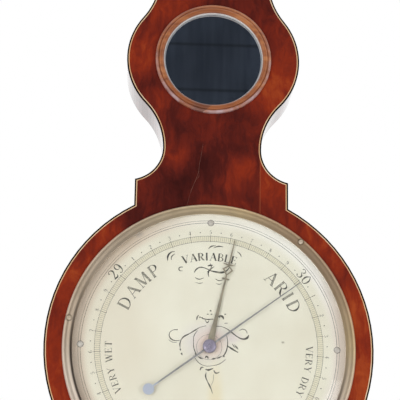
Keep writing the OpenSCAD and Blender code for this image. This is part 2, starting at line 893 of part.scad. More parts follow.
// Turned bezel: rounded band, small quirk, ogee and thin lip, with a rebate behind for the glass
module dial_bezel() {
    top = case_d + bezel_h;
    foot = 0.8;
    band = 2.4;
    lip_t = 0.6;
    step = 0.2;
    band_x = bezel_r - band;
    ogee_x = band_x - step;
    ogee_top = top - 2 * step;
    ogee_w = ogee_x - bezel_lip_r - lip_flat;
    ogee_h = ogee_top - lip_back - lip_t;
    color("#b8a070")
        place()
            difference() {
                turned(concat(
                    [[glass_r + fit_gap, case_d], [bezel_r, case_d], [bezel_r, case_d + foot]],
                    [for (q = arc([0, 0], 1, 0, 90, 10, 1))
                        [band_x + q[0] * band, case_d + foot + q[1] * (top - case_d - foot)]],
                    [for (i = [0:12])
                        [ogee_x - i / 12 * ogee_w, ogee_top - (1 - cos(15 * i)) / 2 * ogee_h]],
                    [[bezel_lip_r, lip_back + lip_t], [bezel_lip_r, lip_back], [glass_r + fit_gap, lip_back]]
                ));
                for (p = bezel_screw_at) {
                    bore(bezel_screw_size * shank_r + fit_gap, case_d - over, top + over, p[0], p[1]);
                    bore(bezel_screw_size * head_r + fit_gap, bezel_seat, top + over, p[0], p[1]);
                }
            }
}

lip_flat = 1.4;
bezel_seat_h = 2.2;
bezel_seat = case_d + bezel_seat_h;

module bezel_screws() {
    color("#6a5a3a")
        place()
            for (p = bezel_screw_at)
                screw(p[0], p[1], bezel_seat, 1, bezel_seat - case_d + wood_grip - over, bezel_screw_size);
}

// Domed glass with a flat rim under the lip of the bezel
dome_in = 0.6;
dome_edge = bezel_lip_r - dome_in;
function dome(edge_d, rise, n) =
    let (r = (dome_edge * dome_edge + rise * rise) / (2 * rise), a = asin(dome_edge / r))
    arc([0, edge_d + rise - r], r, 90 - a, 90, n);

module dial_glass() {
    color("#cfe0e6", 0.3)
        place()
            turned(concat(
                [[glass_r, glass_back], [glass_r, lip_back]],
                dome(lip_back, glass_rise, 14),
                flip(dome(glass_back, glass_rise, 14))
            ));
}

module glass_ring() {
    ring_in = 0.7;
    color("#b89448")
        place()
            turned([[bezel_lip_r + ring_in, dial_d], [glass_r, dial_d], [glass_r, glass_back],
                    [bezel_lip_r + ring_in, glass_back]]);
}

module dial_bush() {
    lip = 0.6;
    flange = 2;
    color("#b89448")
        place()
            turned([[pipe_r + run_gap, dial_back - lip], [bush_bore, dial_back - lip],
                    [bush_bore, dial_d], [bush_bore + flange, dial_d],
                    [bush_bore + flange - 0.4, dial_d + lip], [pipe_r + run_gap, dial_d + lip]]);
}

// A hand drawn pointing up, turned to its angle on the dial
module hand(d, angle) {
    rotate([0, angle, 0])
        slab(d, d + hand_t)
            children();
}

module indicating_hand() {
    root = 0.75;
    color("#2c3344")
        place()
            hand(indicator_d, indicator_angle)
                difference() {
                    union() {
                        polygon(both([[root, -4], [root, 4], [0.3, indicator_l]]));
                        polygon(both([[0.55, -tail_l], [root, 0]]));
                        translate([0, -tail_l])
                            circle(r = tail_r);
                        circle(r = 0.85 * boss_r);
                    }
                    circle(r = arbor_r + fit_gap);
                }
}

// Domed collet that carries the hand on the arbor
module hand_boss() {
    back = indicator_d + hand_t;
    color("#50586a")
        place()
            turned(concat(
                [[arbor_r + fit_gap, back], [boss_r, back], [boss_r, back + 0.8]],
                [for (q = arc([0, 0], 1, 0, 90, 8, 1)) [boss_r * q[0], back + 0.8 + 1.8 * q[1]]],
                [[0, arbor_end + fit_gap], [arbor_r + fit_gap, arbor_end + fit_gap]]
            ));
}

cock_t = 1.5;
cock_d = door_in + 1;

module hand_arbor() {
    color("#9a9ea4")
        place()
            turned([[0, cock_d + 0.2], [pivot_r, cock_d + 0.2], [pivot_r, cock_d + cock_t + 0.4],
                    [arbor_r, cock_d + cock_t + 0.4], [arbor_r, arbor_end], [0, arbor_end]]);
}

// Pulley with a groove for each thread
module float_pulley() {
    floor_r = thread_run_r - thread_r - fit_gap;
    half = 0.3;
    color("#b89448")
        place()
            turned(concat(
                [[arbor_r + fit_gap, tube_d - 0.9], [pulley_r, tube_d - 0.9]],
                [for (d = [tube_d, guide_d]) each
                    [[pulley_r, d - half - 0.2], [floor_r, d - half],
                     [floor_r, d + half], [pulley_r, d + half + 0.1]]],
                [[pulley_r, guide_d + 0.9], [3, guide_d + 0.9], [3, guide_d + 2.4]],
                [[arbor_r + fit_gap, guide_d + 2.4]]
            ));
}

module thread_windings() {
    color("#8a7a58")
        place()
            for (d = [tube_d, guide_d])
                translate([0, -d, 0])
                    rotate([90, 0, 0])
                        rotate_extrude()
                            translate([thread_run_r, 0])
                                circle(r = thread_r, $fn = 24);
}

// Set hand: tapered blade, cross bar, open barbed head and a fine point
module set_hand() {
    bar = 0.63 * set_l;
    loop = bar + 2.4;
    loop_l = 0.1 * set_l;
    loop_w = 4.2;
    line = 0.5;
    color("#a08a5a")
        place()
            hand(set_hand_d, set_angle)
                difference() {
                    union() {
                        circle(r = 5);
                        polygon(both([[2.4, 0], [2.4, 0.16 * bar], [1.7, 0.32 * bar], [1.2, 0.5 * bar],
                                      [0.9, 0.75 * bar], [0.65, bar], [0.55, loop + 0.6]]));
                        polygon(both([[0, bar - 0.7], [2.6, bar - 0.5], [3, bar], [2.6, bar + 0.5],
                                      [0, bar + 0.7]]));
                        difference() {
                            polygon(both([[0, loop], [loop_w, loop + 0.6 * loop_l], [0, loop + loop_l]]));
                            polygon(both([[0, loop + 3 * line], [loop_w - 3 * line, loop + 0.6 * loop_l],
                                          [0, loop + loop_l - 2 * line]]));
                        }
                        polygon(both([[0, loop + loop_l - line], [loop_w, loop + loop_l + line],
                                      [loop_w + 1, loop + loop_l + 2 * line], [0, loop + loop_l + 2 * line]]));
                        polygon(both([[0.65, loop + loop_l], [0.4, set_l - 3], [0.6, set_l - 1.5], [0.2, set_l]]));
                    }
                    circle(r = pipe_r + fit_gap);
                }
}

// Crown wheel on its pipe, with the teeth towards the wall
module set_wheel() {
    face_w = 2.4;
    color("#b89448")
        place() {
            turned([[arbor_r + pass_gap, wheel_back], [wheel_r + face_w / 2, wheel_back],
                    [wheel_r + face_w / 2, wheel_front], [pipe_r + 2, wheel_front],
                    [pipe_r + 2, dial_back - 0.8], [pipe_r, dial_back - 0.8],
                    [pipe_r, pipe_end], [arbor_r + pass_gap, pipe_end]]);
            for (i = [0:wheel_teeth - 1])
                rotate([0, i * 360 / wheel_teeth, 0])
                    translate([0, -wheel_back, -wheel_r - face_w / 2])
                        linear_extrude(face_w)
                            polygon(both([[0.76 * tooth_m, -wheel_t / 4],
                                          [0.4 * tooth_m, addendum + dedendum]]));
        }
}

pinion_l = 3.2;
pinion_z = -wheel_r - pinion_l / 2;

// Pinion cut on the upper end of the rod, with a gap towards the crown wheel at rest
module set_rod() {
    tip = pinion_r + addendum;
    root = pinion_r - dedendum;
    step = 360 / pinion_teeth;
    color("#9a9ea4")
        place() {
            post(rod_r, base_bottom - knob_h + 4, pinion_z + pinion_l, 0, rod_d);
            translate([0, -rod_d, pinion_z])
                linear_extrude(pinion_l)
                    polygon([for (i = [0:pinion_teeth - 1]) let (a = 270 + (i + 0.5) * step)
                        each [for (k = [[root, -0.32], [tip, -0.1], [tip, 0.1], [root, 0.32]])
                            k[0] * [cos(a + k[1] * step), sin(a + k[1] * step)]]]);
        }
}

bush_r = 3;
bush_l = 8;
bush_flange = 1.2;

module rod_bush() {
    color("#b89448")
        place()
            upright([[rod_r + run_gap, base_bottom - bush_flange], [bush_r + 2.4, base_bottom - bush_flange],
                     [bush_r + 2.4, base_bottom], [bush_r, base_bottom], [bush_r, base_bottom + bush_l],
                     [rod_r + run_gap, base_bottom + bush_l]], 0, rod_d);
}

module set_knob() {
    z = base_bottom - bush_flange - 0.4;
    h = knob_h;
    r = knob_r;
    color("#e8dcc0")
        place()
            difference() {
                upright(concat(
                    [[0, z - h], [0.5 * r, z - h], [0.5 * r, z - h + 1]],
                    arc([0.35 * r, z - 0.5 * h], 0.65 * r, -50, 50, 8),
                    [[0.5 * r, z - 0.08 * h], [0.45 * r, z], [0, z]]
                ), 0, rod_d);
                post(rod_r + fit_gap, base_bottom - knob_h + 4 - fit_gap, z + over, 0, rod_d);
            }
}

// Bar across the opening behind the dial, with a lug that carries the upper end of the rod
module movement_bar() {
    lug = rod_r + 2;
    lug_z = -wheel_hole_r + 1;
    color("#b89448")
        place()
            difference() {
                union() {
                    block(-bar_w / 2, bar_w / 2, bar_back, trough_d, -bar_l / 2, bar_l / 2);
                    block(-lug, lug, trough_d - 0.1, rod_d, lug_z, lug_z + 2.6);
                    post(lug, lug_z, lug_z + 2.6, 0, rod_d);
                }
                post(rod_r + run_gap, lug_z - over, lug_z + 3 + over, 0, rod_d);
                post(pinion_r + addendum + pass_gap, pinion_z - pass_gap,
                     pinion_z + pinion_l + pass_gap, 0, rod_d);
                bore(arbor_r + run_gap, bar_back - over, trough_d + over);
                for (p = bar_screw_at)
                    bore(shank_r + fit_gap, bar_back - over, trough_d + over, p[0], p[1]);
                bore(shank_r + fit_gap, bar_back - over, trough_d + over, 0, cock_screw_z);
            }
}

cock_leg_z = pulley_r + 2;
cock_screw_z = cock_leg_z + 6;
cock_w = 8;

// Single-legged cock that holds the rear pivot behind the pulley
module back_cock() {
    color("#b89448")
        place()
            difference() {
                union() {
                    block(-cock_w / 2, cock_w / 2, cock_d, cock_d + cock_t, 0, cock_leg_z + cock_t);
                    bore(cock_w / 2, cock_d, cock_d + cock_t);
                    block(-cock_w / 2, cock_w / 2, cock_d, bar_back, cock_leg_z, cock_leg_z + cock_t);
                    block(-cock_w / 2, cock_w / 2, bar_back - cock_t, bar_back,
                          cock_leg_z, cock_screw_z + cock_w / 2);
                }
                bore(pivot_r + run_gap, cock_d - over, cock_d + cock_t + over);
                bore(shank_r + fit_gap, bar_back - cock_t - over, bar_back + over, 0, cock_screw_z);
            }
}

// Blocks that hold the tubes: the lower one takes both limbs and the guide tube
guide_x = -thread_run_r;
short_x = thread_run_r;
bend_x = (short_x - long_limb_x) / 2;
bend_r = (short_x + long_limb_x) / 2;
tube_top = door_z1 - 7;
cradle_x0 = -trough_w / 2 + let_gap;
cradle_back = strap_d + strap_t;
upper_cradle_at = [150, 420, tube_top - 36];
lower_cradle_z = -92;
left_screw_x = (cradle_x0 - long_limb_x - tube_r) / 2;
upper_screw_x = -long_limb_x + tube_r + 2.4;
lower_screw_x = short_x + tube_r + 2;
strap_screw_at = concat(
    [for (z = upper_cradle_at) each [[left_screw_x, z + cradle_h / 2], [upper_screw_x, z + cradle_h / 2]]],
    [for (x = [left_screw_x, lower_screw_x]) [x, lower_cradle_z + cradle_h / 2]]
);
strap_screw_size = 0.6;

module groove(x, d, r, z) {
    post(r + fit_gap, z - over, z + cradle_h + over, x, d);
    block(x - r - fit_gap, x + r + fit_gap, 0, d, z - over, z + cradle_h + over);
}

module strap_holes(d0, d1) {
    for (p = strap_screw_at)
        bore(strap_screw_size * shank_r + fit_gap, d0, d1, p[0], p[1]);
}

module tube_cradles() {
    color("#c8a878")
        place()
            difference() {
                union() {
                    for (z = upper_cradle_at)
                        block(cradle_x0, upper_screw_x + 2, cradle_back, trough_d, z, z + cradle_h);
                    block(cradle_x0, lower_screw_x + 2, cradle_back, trough_d,
                          lower_cradle_z, lower_cradle_z + cradle_h);
                }
                for (z = concat(upper_cradle_at, [lower_cradle_z]))
                    groove(-long_limb_x, tube_d, tube_r, z);
                groove(guide_x, guide_d, guide_r, lower_cradle_z);
                groove(short_x, tube_d, tube_r, lower_cradle_z);
                strap_holes(0, cradle_back + back_grip);
            }
}

module tube_straps() {
    inset = cradle_h / 4;
    color("#b89448")
        place()
            difference() {
                union() {
                    for (z = upper_cradle_at)
                        block(cradle_x0, upper_screw_x + 2, strap_d, cradle_back,
                              z + inset, z + cradle_h - inset);
                    block(cradle_x0, lower_screw_x + 2, strap_d, cradle_back,
                          lower_cradle_z + inset, lower_cradle_z + cradle_h - inset);
                }
                strap_holes(0, trough_d);
            }
}

module inner_screws() {
    color("#9a9ea4")
        place() {
            for (p = bar_screw_at)
                screw(p[0], p[1], bar_back, -1, bar_t + wood_grip - over);
            screw(0, cock_screw_z, bar_back - cock_t, -1, cock_t + bar_t);
            for (p = strap_screw_at)
                screw(p[0], p[1], strap_d, -1, strap_t + back_grip - over, strap_screw_size);
        }
}

// Siphon: long limb closed at the top, bend, and short limb open at the top
module limb(x, r0, r1, z0, z1) {
    translate([x, -tube_d, z0])
        linear_extrude(z1 - z0)
            difference() {
                circle(r = r1);
                if (r0 > 0)
                    circle(r = r0);
            }
}

module bend(r0, r1) {
    translate([bend_x, -tube_d, -bend_z])
        rotate([90, 0, 0])
            rotate([0, 0, 180])
                rotate_extrude(angle = 180)
                    translate([bend_r, 0])
                        difference() {
                            circle(r = r1, $fn = 32);
                            if (r0 > 0)
                                circle(r = r0, $fn = 32);
                        }
}

module siphon_tube() {
    cap = tube_top - tube_r;
    color("#cfe0e6", 0.4)
        place() {
            upright(concat(
                [[tube_bore_r, -bend_z], [tube_r, -bend_z], [tube_r, cap]],
                arc([0, cap], tube_r, 0, 90, 8, 1),
                [[0, cap + tube_bore_r]],
                arc([0, cap], tube_bore_r, 90, 0, 8, 1)
            ), -long_limb_x, tube_d);
            bend(tube_bore_r, tube_r);
            limb(short_x, tube_bore_r, tube_r, -bend_z, -short_limb_top);
        }
}

mercury_r = tube_bore_r - fit_gap;

module mercury_column() {
    color("#b8bcc4")
        place() {
            limb(-long_limb_x, 0, mercury_r, -bend_z, mercury_h - mercury_low);
            bend(0, mercury_r);
        }
}

module mercury_short_limb() {
    color("#b8bcc4")
        place()
            limb(short_x, 0, mercury_r, -bend_z, -mercury_low);
}

float_z = -mercury_low + 0.2;
eye_h = 2;

// Weight with a tapered eye for its thread, standing on z
module bob(x, d, r, l, z) {
    upright([[0, z], [0.7 * r, z], [r, z + 0.8], [r, z + l - 1.5], [0.5 * r, z + l], [0.4 * r, z + l + eye_h],
             [0, z + l + eye_h]], x, d);
}

module float() {
    color("#6a7078")
        place()
            bob(short_x, tube_d, float_r, float_l, float_z);
}

thread_top = -2.6 * sqrt(thread_run_r * thread_r);

module float_thread() {
    color("#8a7a58")
        place()
            post(thread_r, float_z + float_l + eye_h, thread_top, short_x, tube_d, $fn = 24);
}

guide_top = -35;
weight_l = 11;
weight_z = guide_top - 0.52 * guide_l;

module counterweight() {
    color("#6a7078")
        place()
            bob(guide_x, guide_d, weight_r, weight_l, weight_z);
}

module counterweight_thread() {
    color("#8a7a58")
        place()
            post(thread_r, weight_z + weight_l + eye_h, thread_top, guide_x, guide_d, $fn = 24);
}

module guide_tube() {
    color("#cfe0e6", 0.4)
        place()
            upright([[guide_r - guide_wall, guide_top - guide_l], [guide_r, guide_top - guide_l],
                     [guide_r, guide_top], [guide_r - guide_wall, guide_top]], guide_x, guide_d);
}

// Spirit level in the base
module level_plate() {
    w = level_w / 2 - level_h / 2;
    window_h = 1.2 * vial_r;
    color("#b89448")
        place()
            slab(case_d, case_d + level_t)
                translate([0, -level_z])
                    difference() {
                        union() {
                            square([2 * w, level_h], center = true);
                            for (s = [-1, 1])
                                translate([s * w, 0])
                                    circle(r = level_h / 2);
                        }
                        square([0.72 * vial_l, window_h], center = true);
                        for (s = [-1, 1]) {
                            translate([s * 0.36 * vial_l, 0])
                                circle(r = window_h / 2);
                            translate([s * w, 0])
                                circle(r = shank_r + fit_gap);
                        }
                    }
}

module level_vial() {
    color("#c4d890", 0.6)
        place()
            translate([-vial_l / 2, -case_d + vial_r, -level_z])
                rotate([0, 90, 0])
                    cylinder(h = vial_l, r = vial_r);
}

// Back door with its hinges and turn button
module back_door() {
    color("#6a4a2e")
        place()
            difference() {
                block(-door_w / 2, door_w / 2, door_sink, door_in, door_z0, door_z1);
                for (z = hinge_at) {
                    post(knuckle_r + pass_gap, z - hinge_l / 2 - let_gap, z + hinge_l / 2 + let_gap,
                         hinge_x, hinge_d);
                    for (s = [-1, 1])
                        bore(back_screw_size * shank_r + fit_gap, 0, door_in + over,
                             hinge_x + leaf_screw_x, z + s * hinge_screw_dz);
                }
            }
}

// One hinge leaf with the knuckles in spans; hand is -1 for the case side and 1 for the door side
module leaf(z, hand, spans) {
    x0 = hinge_x;
    x1 = hinge_x + hand * leaf_w;
    clear_x = hinge_x + hand * (knuckle_r + let_gap);
    difference() {
        union() {
            block(min(clear_x, x1), max(clear_x, x1), door_sink - leaf_t, door_sink,
                  z - hinge_l / 2, z + hinge_l / 2);
            for (p = spans) {
                post(knuckle_r, z + p[0], z + p[1], x0, hinge_d);
                block(min(x0, x1), max(x0, x1), door_sink - leaf_t, door_sink, z + p[0], z + p[1]);
            }
        }
        for (p = spans)
            post(hinge_pin_r + run_gap, z + p[0] - over, z + p[1] + over, x0, hinge_d);
        for (s = [-1, 1])
            bore(back_screw_size * shank_r + fit_gap, -over, door_in, hinge_x + hand * leaf_screw_x,
                 z + s * hinge_screw_dz);
    }
}

knuckle = hinge_l / 3;

module hinge_case_leaves() {
    color("#b89448")
        place()
            for (z = hinge_at)
                leaf(z, -1, [[-hinge_l / 2, -knuckle / 2], [knuckle / 2, hinge_l / 2]]);
}

module hinge_door_leaves() {
    color("#b89448")
        place()
            for (z = hinge_at)
                leaf(z, 1, [[-knuckle / 2 + let_gap, knuckle / 2 - let_gap]]);
}

module hinge_pins() {
    color("#9a9ea4")
        place()
            for (z = hinge_at)
                post(hinge_pin_r, z - hinge_l / 2, z + hinge_l / 2, hinge_x, hinge_d);
}

module hinge_door_screws() {
    color("#9a9ea4")
        place()
            for (z = hinge_at)
                for (s = [-1, 1])
                    screw(hinge_x + leaf_screw_x, z + s * hinge_screw_dz, door_sink - leaf_t, -1,
                          leaf_t + door_t - screw_short, back_screw_size);
}

button_d = 0.9;
button_free = 0.1;

module door_button() {
    w = button_w / 2;
    l = button_l / 2 - w;
    color("#b89448")
        place()
            slab(button_d, door_sink - button_free)
                translate([button_x, button_z])
                    difference() {
                        union() {
                            square([2 * w, 2 * l], center = true);
                            for (s = [-1, 1])
                                translate([0, s * l])
                                    circle(r = w);
                        }
                        circle(r = back_screw_size * shank_r + run_gap);
                    }
}

module hanging_plate() {
    w = hook_w / 2;
    top = hook_r + 5;
    color("#b89448")
        place()
            slab(0, hook_t)
                difference() {
                    union() {
                        translate([-w, trunk_top - hook_let])
                            square([hook_w, hook_let]);
                        polygon(both([[w, trunk_top - over], [top, hook_z], [top, hook_z + 0.5]]));
                        translate([0, hook_z])
                            circle(r = top);
                    }
                    translate([0, hook_z])
                        circle(r = hook_r);
                    for (p = hook_screw_at)
                        translate(p)
                            circle(r = back_screw_size * head_r + fit_gap);
                }
}

module back_screws() {
    color("#9a9ea4")
        place() {
            for (z = hinge_at)
                for (s = [-1, 1])
                    screw(hinge_x - leaf_screw_x, z + s * hinge_screw_dz, door_sink - leaf_t, -1,
                          leaf_t + back_grip - over, back_screw_size);
            screw(button_x, button_z, button_d - fit_gap, -1, back_grip, back_screw_size);
            for (p = hook_screw_at)
                screw(p[0], p[1], hook_t, -1, back_grip - over, back_screw_size);
        }
}

case_carcass();
front_veneer();
boxwood_stringing();
ebony_edging();
cornice();
pediment_board();
swan_neck_mouldings();
pediment_rosettes();
finial_plinth();
finial();
mirror_ring();
mirror_slip();
mirror_glass();
thermometer_scale();
thermometer_tube();
thermometer_spirit();
thermometer_clips();
thermometer_frame();
thermometer_glass();
trim_screws();
dial_plate();
dial_screws();
dial_bezel();
bezel_screws();
dial_glass();
glass_ring();
dial_bush();
indicating_hand();
hand_boss();
hand_arbor();
float_pulley();
thread_windings();
set_hand();
set_wheel();
set_rod();
set_knob();
rod_bush();
movement_bar();
back_cock();
inner_screws();
siphon_tube();
mercury_column();
mercury_short_limb();
float();
float_thread();
counterweight();
counterweight_thread();
guide_tube();
tube_cradles();
tube_straps();
level_plate();
level_vial();
back_door();
hinge_case_leaves();
hinge_door_leaves();
hinge_pins();
hinge_door_screws();
door_button();
hanging_plate();
back_screws();
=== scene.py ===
import math
from functools import partial

import bpy
from mathutils import Matrix, Vector


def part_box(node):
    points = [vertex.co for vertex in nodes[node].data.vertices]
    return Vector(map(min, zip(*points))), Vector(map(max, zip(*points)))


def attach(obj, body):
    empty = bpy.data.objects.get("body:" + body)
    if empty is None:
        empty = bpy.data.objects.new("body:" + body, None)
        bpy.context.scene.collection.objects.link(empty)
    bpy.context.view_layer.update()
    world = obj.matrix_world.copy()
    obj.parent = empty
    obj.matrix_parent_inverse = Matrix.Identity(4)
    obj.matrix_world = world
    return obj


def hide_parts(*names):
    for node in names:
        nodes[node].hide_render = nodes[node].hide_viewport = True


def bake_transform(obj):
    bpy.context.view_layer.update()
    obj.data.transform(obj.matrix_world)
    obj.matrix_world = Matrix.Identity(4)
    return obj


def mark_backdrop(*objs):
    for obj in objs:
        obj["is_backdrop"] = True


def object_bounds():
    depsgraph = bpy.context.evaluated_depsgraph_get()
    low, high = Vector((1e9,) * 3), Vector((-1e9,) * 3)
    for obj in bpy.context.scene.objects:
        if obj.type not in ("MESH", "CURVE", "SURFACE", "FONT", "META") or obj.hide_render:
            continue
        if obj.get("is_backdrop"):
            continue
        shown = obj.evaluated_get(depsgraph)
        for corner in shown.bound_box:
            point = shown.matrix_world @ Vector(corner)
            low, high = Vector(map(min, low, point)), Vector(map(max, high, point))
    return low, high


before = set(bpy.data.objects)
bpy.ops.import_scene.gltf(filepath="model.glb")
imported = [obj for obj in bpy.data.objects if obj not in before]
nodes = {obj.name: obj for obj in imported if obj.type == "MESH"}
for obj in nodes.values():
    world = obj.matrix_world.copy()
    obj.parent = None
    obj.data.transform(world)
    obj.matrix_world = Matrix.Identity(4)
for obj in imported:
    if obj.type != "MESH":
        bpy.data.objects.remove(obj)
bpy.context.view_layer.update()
print("stage 1: frame loaded,", len(nodes), "nodes")

mm = 0.001


def middle(node):
    return [(a + b) / 2 for a, b in zip(*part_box(node))]


dialZ = middle("dial_plate")[2]
mirrorZ = middle("mirror_glass")[2]
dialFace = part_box("dial_plate")[0][1]
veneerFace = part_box("front_veneer")[0][1]


def tone(code):
    # an sRGB hex code as linear colour
    parts = [int(code[i:i + 2], 16) / 255 for i in (1, 3, 5)]
    linear = [c / 12.92 if c <= 0.04045 else ((c + 0.055) / 1.055) ** 2.4 for c in parts]
    return (*linear, 1)


def addNode(tree, kind, values=(), how=None, **settings):
    # values go by socket name or number, or in the sockets' order; a node stands for its live output, a hex
    # code for its colour and Size, in millimetres, for a pattern's scale; how is an operation or ramp stops
    made = tree.nodes.new("ShaderNode" + kind)
    if isinstance(how, str):
        made.operation = how
    for key, value in settings.items():
        setattr(made, key, value)
    for key, value in values.items() if isinstance(values, dict) else enumerate(values):
        if key == "Size":
            key, value = "Scale", 1 / (value * mm)
        if isinstance(value, bpy.types.Node):
            value = next(socket for socket in value.outputs if socket.enabled)
        if isinstance(value, bpy.types.NodeSocket):
            tree.links.new(value, made.inputs[key])
        else:
            made.inputs[key].default_value = tone(value) if isinstance(value, str) else value
    if kind == "ValToRGB":
        band = made.color_ramp.elements
        band.remove(band[1])
        band[0].position, band[0].color = how[0][0], tone(how[0][1])
        for place, code in how[1:]:
            band.new(place).color = tone(code)
    return made


def newMaterial(name):
    made = bpy.data.materials.new(name)
    made.use_nodes = True
    made.node_tree.nodes.clear()
    add = partial(addNode, made.node_tree)
    return made, add, add("TexCoord").outputs["Object"]


noiseSpan = (0.3, 0.7)  # most of a noise lies between these
eased = {"interpolation_type": "SMOOTHSTEP"}


def spaced(*codes):
    # ramp stops at even distances
    return [(i / (len(codes) - 1), code) for i, code in enumerate(codes)]


# French-polished flame mahogany: cloudy dark plumes and orange-red flares under a clear gloss
veneerLook = {
    "warp": 25, "push": 16, "rub": 16.67, "depth": 0.7,  # mm
    "rough": (0.12, 0.22), "soften": 1.6, "jointTone": "#b0603c",
    "joint": 38, "hairline": 0.3, "waist": 163, "shoulder": 90,  # mm from the dial's centre
    "nextSheet": (0.37, 0, 0.21),  # where the right shoulder's sheet takes its figure
    "layers": [  # size in mm, squeeze, turn, detail, roughness, distortion, lowest, highest
        (41.67, 0.5, 0.35, 5, 0.55, 0.7, 0.2, 0.66),  # plumes
        (13.33, 0.45, -0.5, 4, 0.6, 1, -0.17, 0.17),  # blotches
        (2.381, 0.06, 0.12, 3, 0.5, 0, -0.06, 0.06),  # grain, drawn coarse enough to show
    ],
    "tones": spaced("#411611", "#571d16", "#762618", "#953117", "#b04a20"),
    "patches": [  # x, z, radius in mm about the dial's centre, and how much lighter or darker
        (-57, 235, 18, 0.34), (-40, 193, 15, 0.26), (55, 215, 25, 0.54), (62, 262, 20, 0.26),
        # most patches follow the veneer's figure; the dark one at -26, 184 is a painted shadow below the
        # mirror ring
        (-28, 151, 13, 0.28), (-26, 184, 12, -0.22), (11, 176, 12, 0.14), (24, 139, 15, 0.48),
        (9, 129, 10, 0.16), (48, 129, 13, 0.22), (-35, 269, 16, 0.18), (-4, 146, 27, -0.22),
        (15, 183, 15, -0.18), (-41, 126, 24, -0.22), (-30, 108, 16, -0.24), (-53, 214, 10, -0.14),
        (58, 239, 12, 0.14), (-104, 58, 30, 0.22), (-78, 90, 18, 0.3), (-62, 100, 12, -0.18),
        (-118, 14, 34, 0.22), (-112, -28, 36, 0.34), (118, -28, 36, 0.34), (112, 25, 46, 0.46),
        (80, 88, 26, 0.36),
    ],
}


def flameMahogany(look):
    made, add, place = newMaterial("frenchPolishedFlameMahogany")
    centred = add("Mapping", {"Vector": place, "Location": (0, 0, -dialZ)})
    parts = add("SeparateXYZ", [centred])
    side, height = parts.outputs["X"], parts.outputs["Z"]
    warp = add("TexNoise", {"Vector": centred, "Size": look["warp"], "Detail": 3})
    shift = add("VectorMath", [warp.outputs["Color"], (0.5, 0.5, 0.5)], "SUBTRACT")
    push = add("VectorMath", {0: shift, "Scale": look["push"] * mm}, "SCALE")
    bent = add("VectorMath", [centred, push], "ADD")
    # the right shoulder is a separate sheet, jointed to the neck on an upright line
    inNeck = add("Math", [side, look["joint"] * mm], "LESS_THAN")
    belowWaist = add("Math", [height, look["waist"] * mm], "LESS_THAN")
    outside = add("Math", [belowWaist, inNeck], "SUBTRACT", use_clamp=True)
    slide = add("VectorMath", {0: look["nextSheet"], "Scale": outside}, "SCALE")
    sheet = add("VectorMath", [bent, slide], "ADD")
    figure = []
    for size, squeeze, turn, detail, rough, twist, lowest, highest in look["layers"]:
        run = add("Mapping", {"Vector": sheet, "Scale": (1, 1, squeeze), "Rotation": (0, turn, 0)})
        noise = add("TexNoise", {"Vector": run, "Size": size, "Detail": detail,
                                 "Roughness": rough, "Distortion": twist})
        figure.append(add("MapRange", [noise, *noiseSpan, lowest, highest]))
    level = figure[0]
    for x, z, radius, weight in look["patches"]:
        spot = (x * mm, veneerFace + look["depth"] * mm, z * mm)
        reach = add("VectorMath", [bent, spot], "DISTANCE")
        fall = add("MapRange", [reach, 0, radius * look["soften"] * mm, weight, 0], **eased)
        level = add("Math", [level, fall], "ADD")
    for change in figure[1:]:
        level = add("Math", [level, change], "ADD")
    ramp = add("ValToRGB", [level], look["tones"])
    # the joint is a pale hairline, seen between waist and dial
    line = add("Math", [side, look["joint"] * mm, look["hairline"] * mm], "COMPARE")
    aboveDial = add("Math", [height, look["shoulder"] * mm], "GREATER_THAN")
    shown = belowWaist
    for share in (aboveDial, line, 0.5):
        shown = add("Math", [shown, share], "MULTIPLY")
    colour = add("Mix", {0: shown, 6: ramp, 7: look["jointTone"]}, data_type="RGBA")
    rub = add("TexNoise", {"Vector": place, "Size": look["rub"], "Detail": 2})
    rough = add("MapRange", [rub, 0, 1, *look["rough"]])
    add("OutputMaterial", [add("BsdfPrincipled", {"Base Color": colour, "Roughness": rough, "IOR": 1.5})])
    return made


def straightWood(name, stops, grainAxis, size, rough, coat=0, bare=None, streak=0.08, ior=1.5):
    # plain sawn timber: long streaks along one axis, with fine pores
    made, add, place = newMaterial(name)
    squeeze = [1, 1, 1]
    squeeze[grainAxis] = 0.05
    run = add("Mapping", {"Vector": place, "Scale": squeeze})
    bands = add("TexNoise", {"Vector": run, "Size": size, "Detail": 4, "Distortion": 0.6})
    pores = add("TexNoise", {"Vector": run, "Size": size / 7, "Detail": 2})
    spread = add("MapRange", [bands, *noiseSpan])
    fleck = add("MapRange", [pores, 0.35, 0.65, -streak, streak])
    level = add("Math", [spread, fleck], "ADD")
    colour = add("ValToRGB", [level], stops)
    if bare:
        # the face that lies to the wall is left unpolished
        facing = add("SeparateXYZ", [add("TexCoord").outputs["Normal"]])
        back = add("Math", [facing.outputs["Y"], 0.9], "GREATER_THAN")
        bareWood = add("ValToRGB", [level], bare)
        colour = add("Mix", {0: back, 6: colour, 7: bareWood}, data_type="RGBA")
        rough = add("MapRange", [back, 0, 1, rough, 0.75])
    shader = add("BsdfPrincipled", {"Base Color": colour, "Roughness": rough, "IOR": ior,
                                    "Coat Weight": coat, "Coat Roughness": 0.1})
    add("OutputMaterial", [shader])
    return made


# faded blued steel: grey by now, with some lilac left on the counterpoise
handLook = {
    "disc": (-46, -38, -32), "near": 6, "far": 12, "patina": 4.167,  # mm, heights from the dial's centre
    "tones": [(0.3, "#7d7b7c"), (0.7, "#9a989a")], "lilac": "#b3b9cc", "rough": (0.25, 0.4),
}


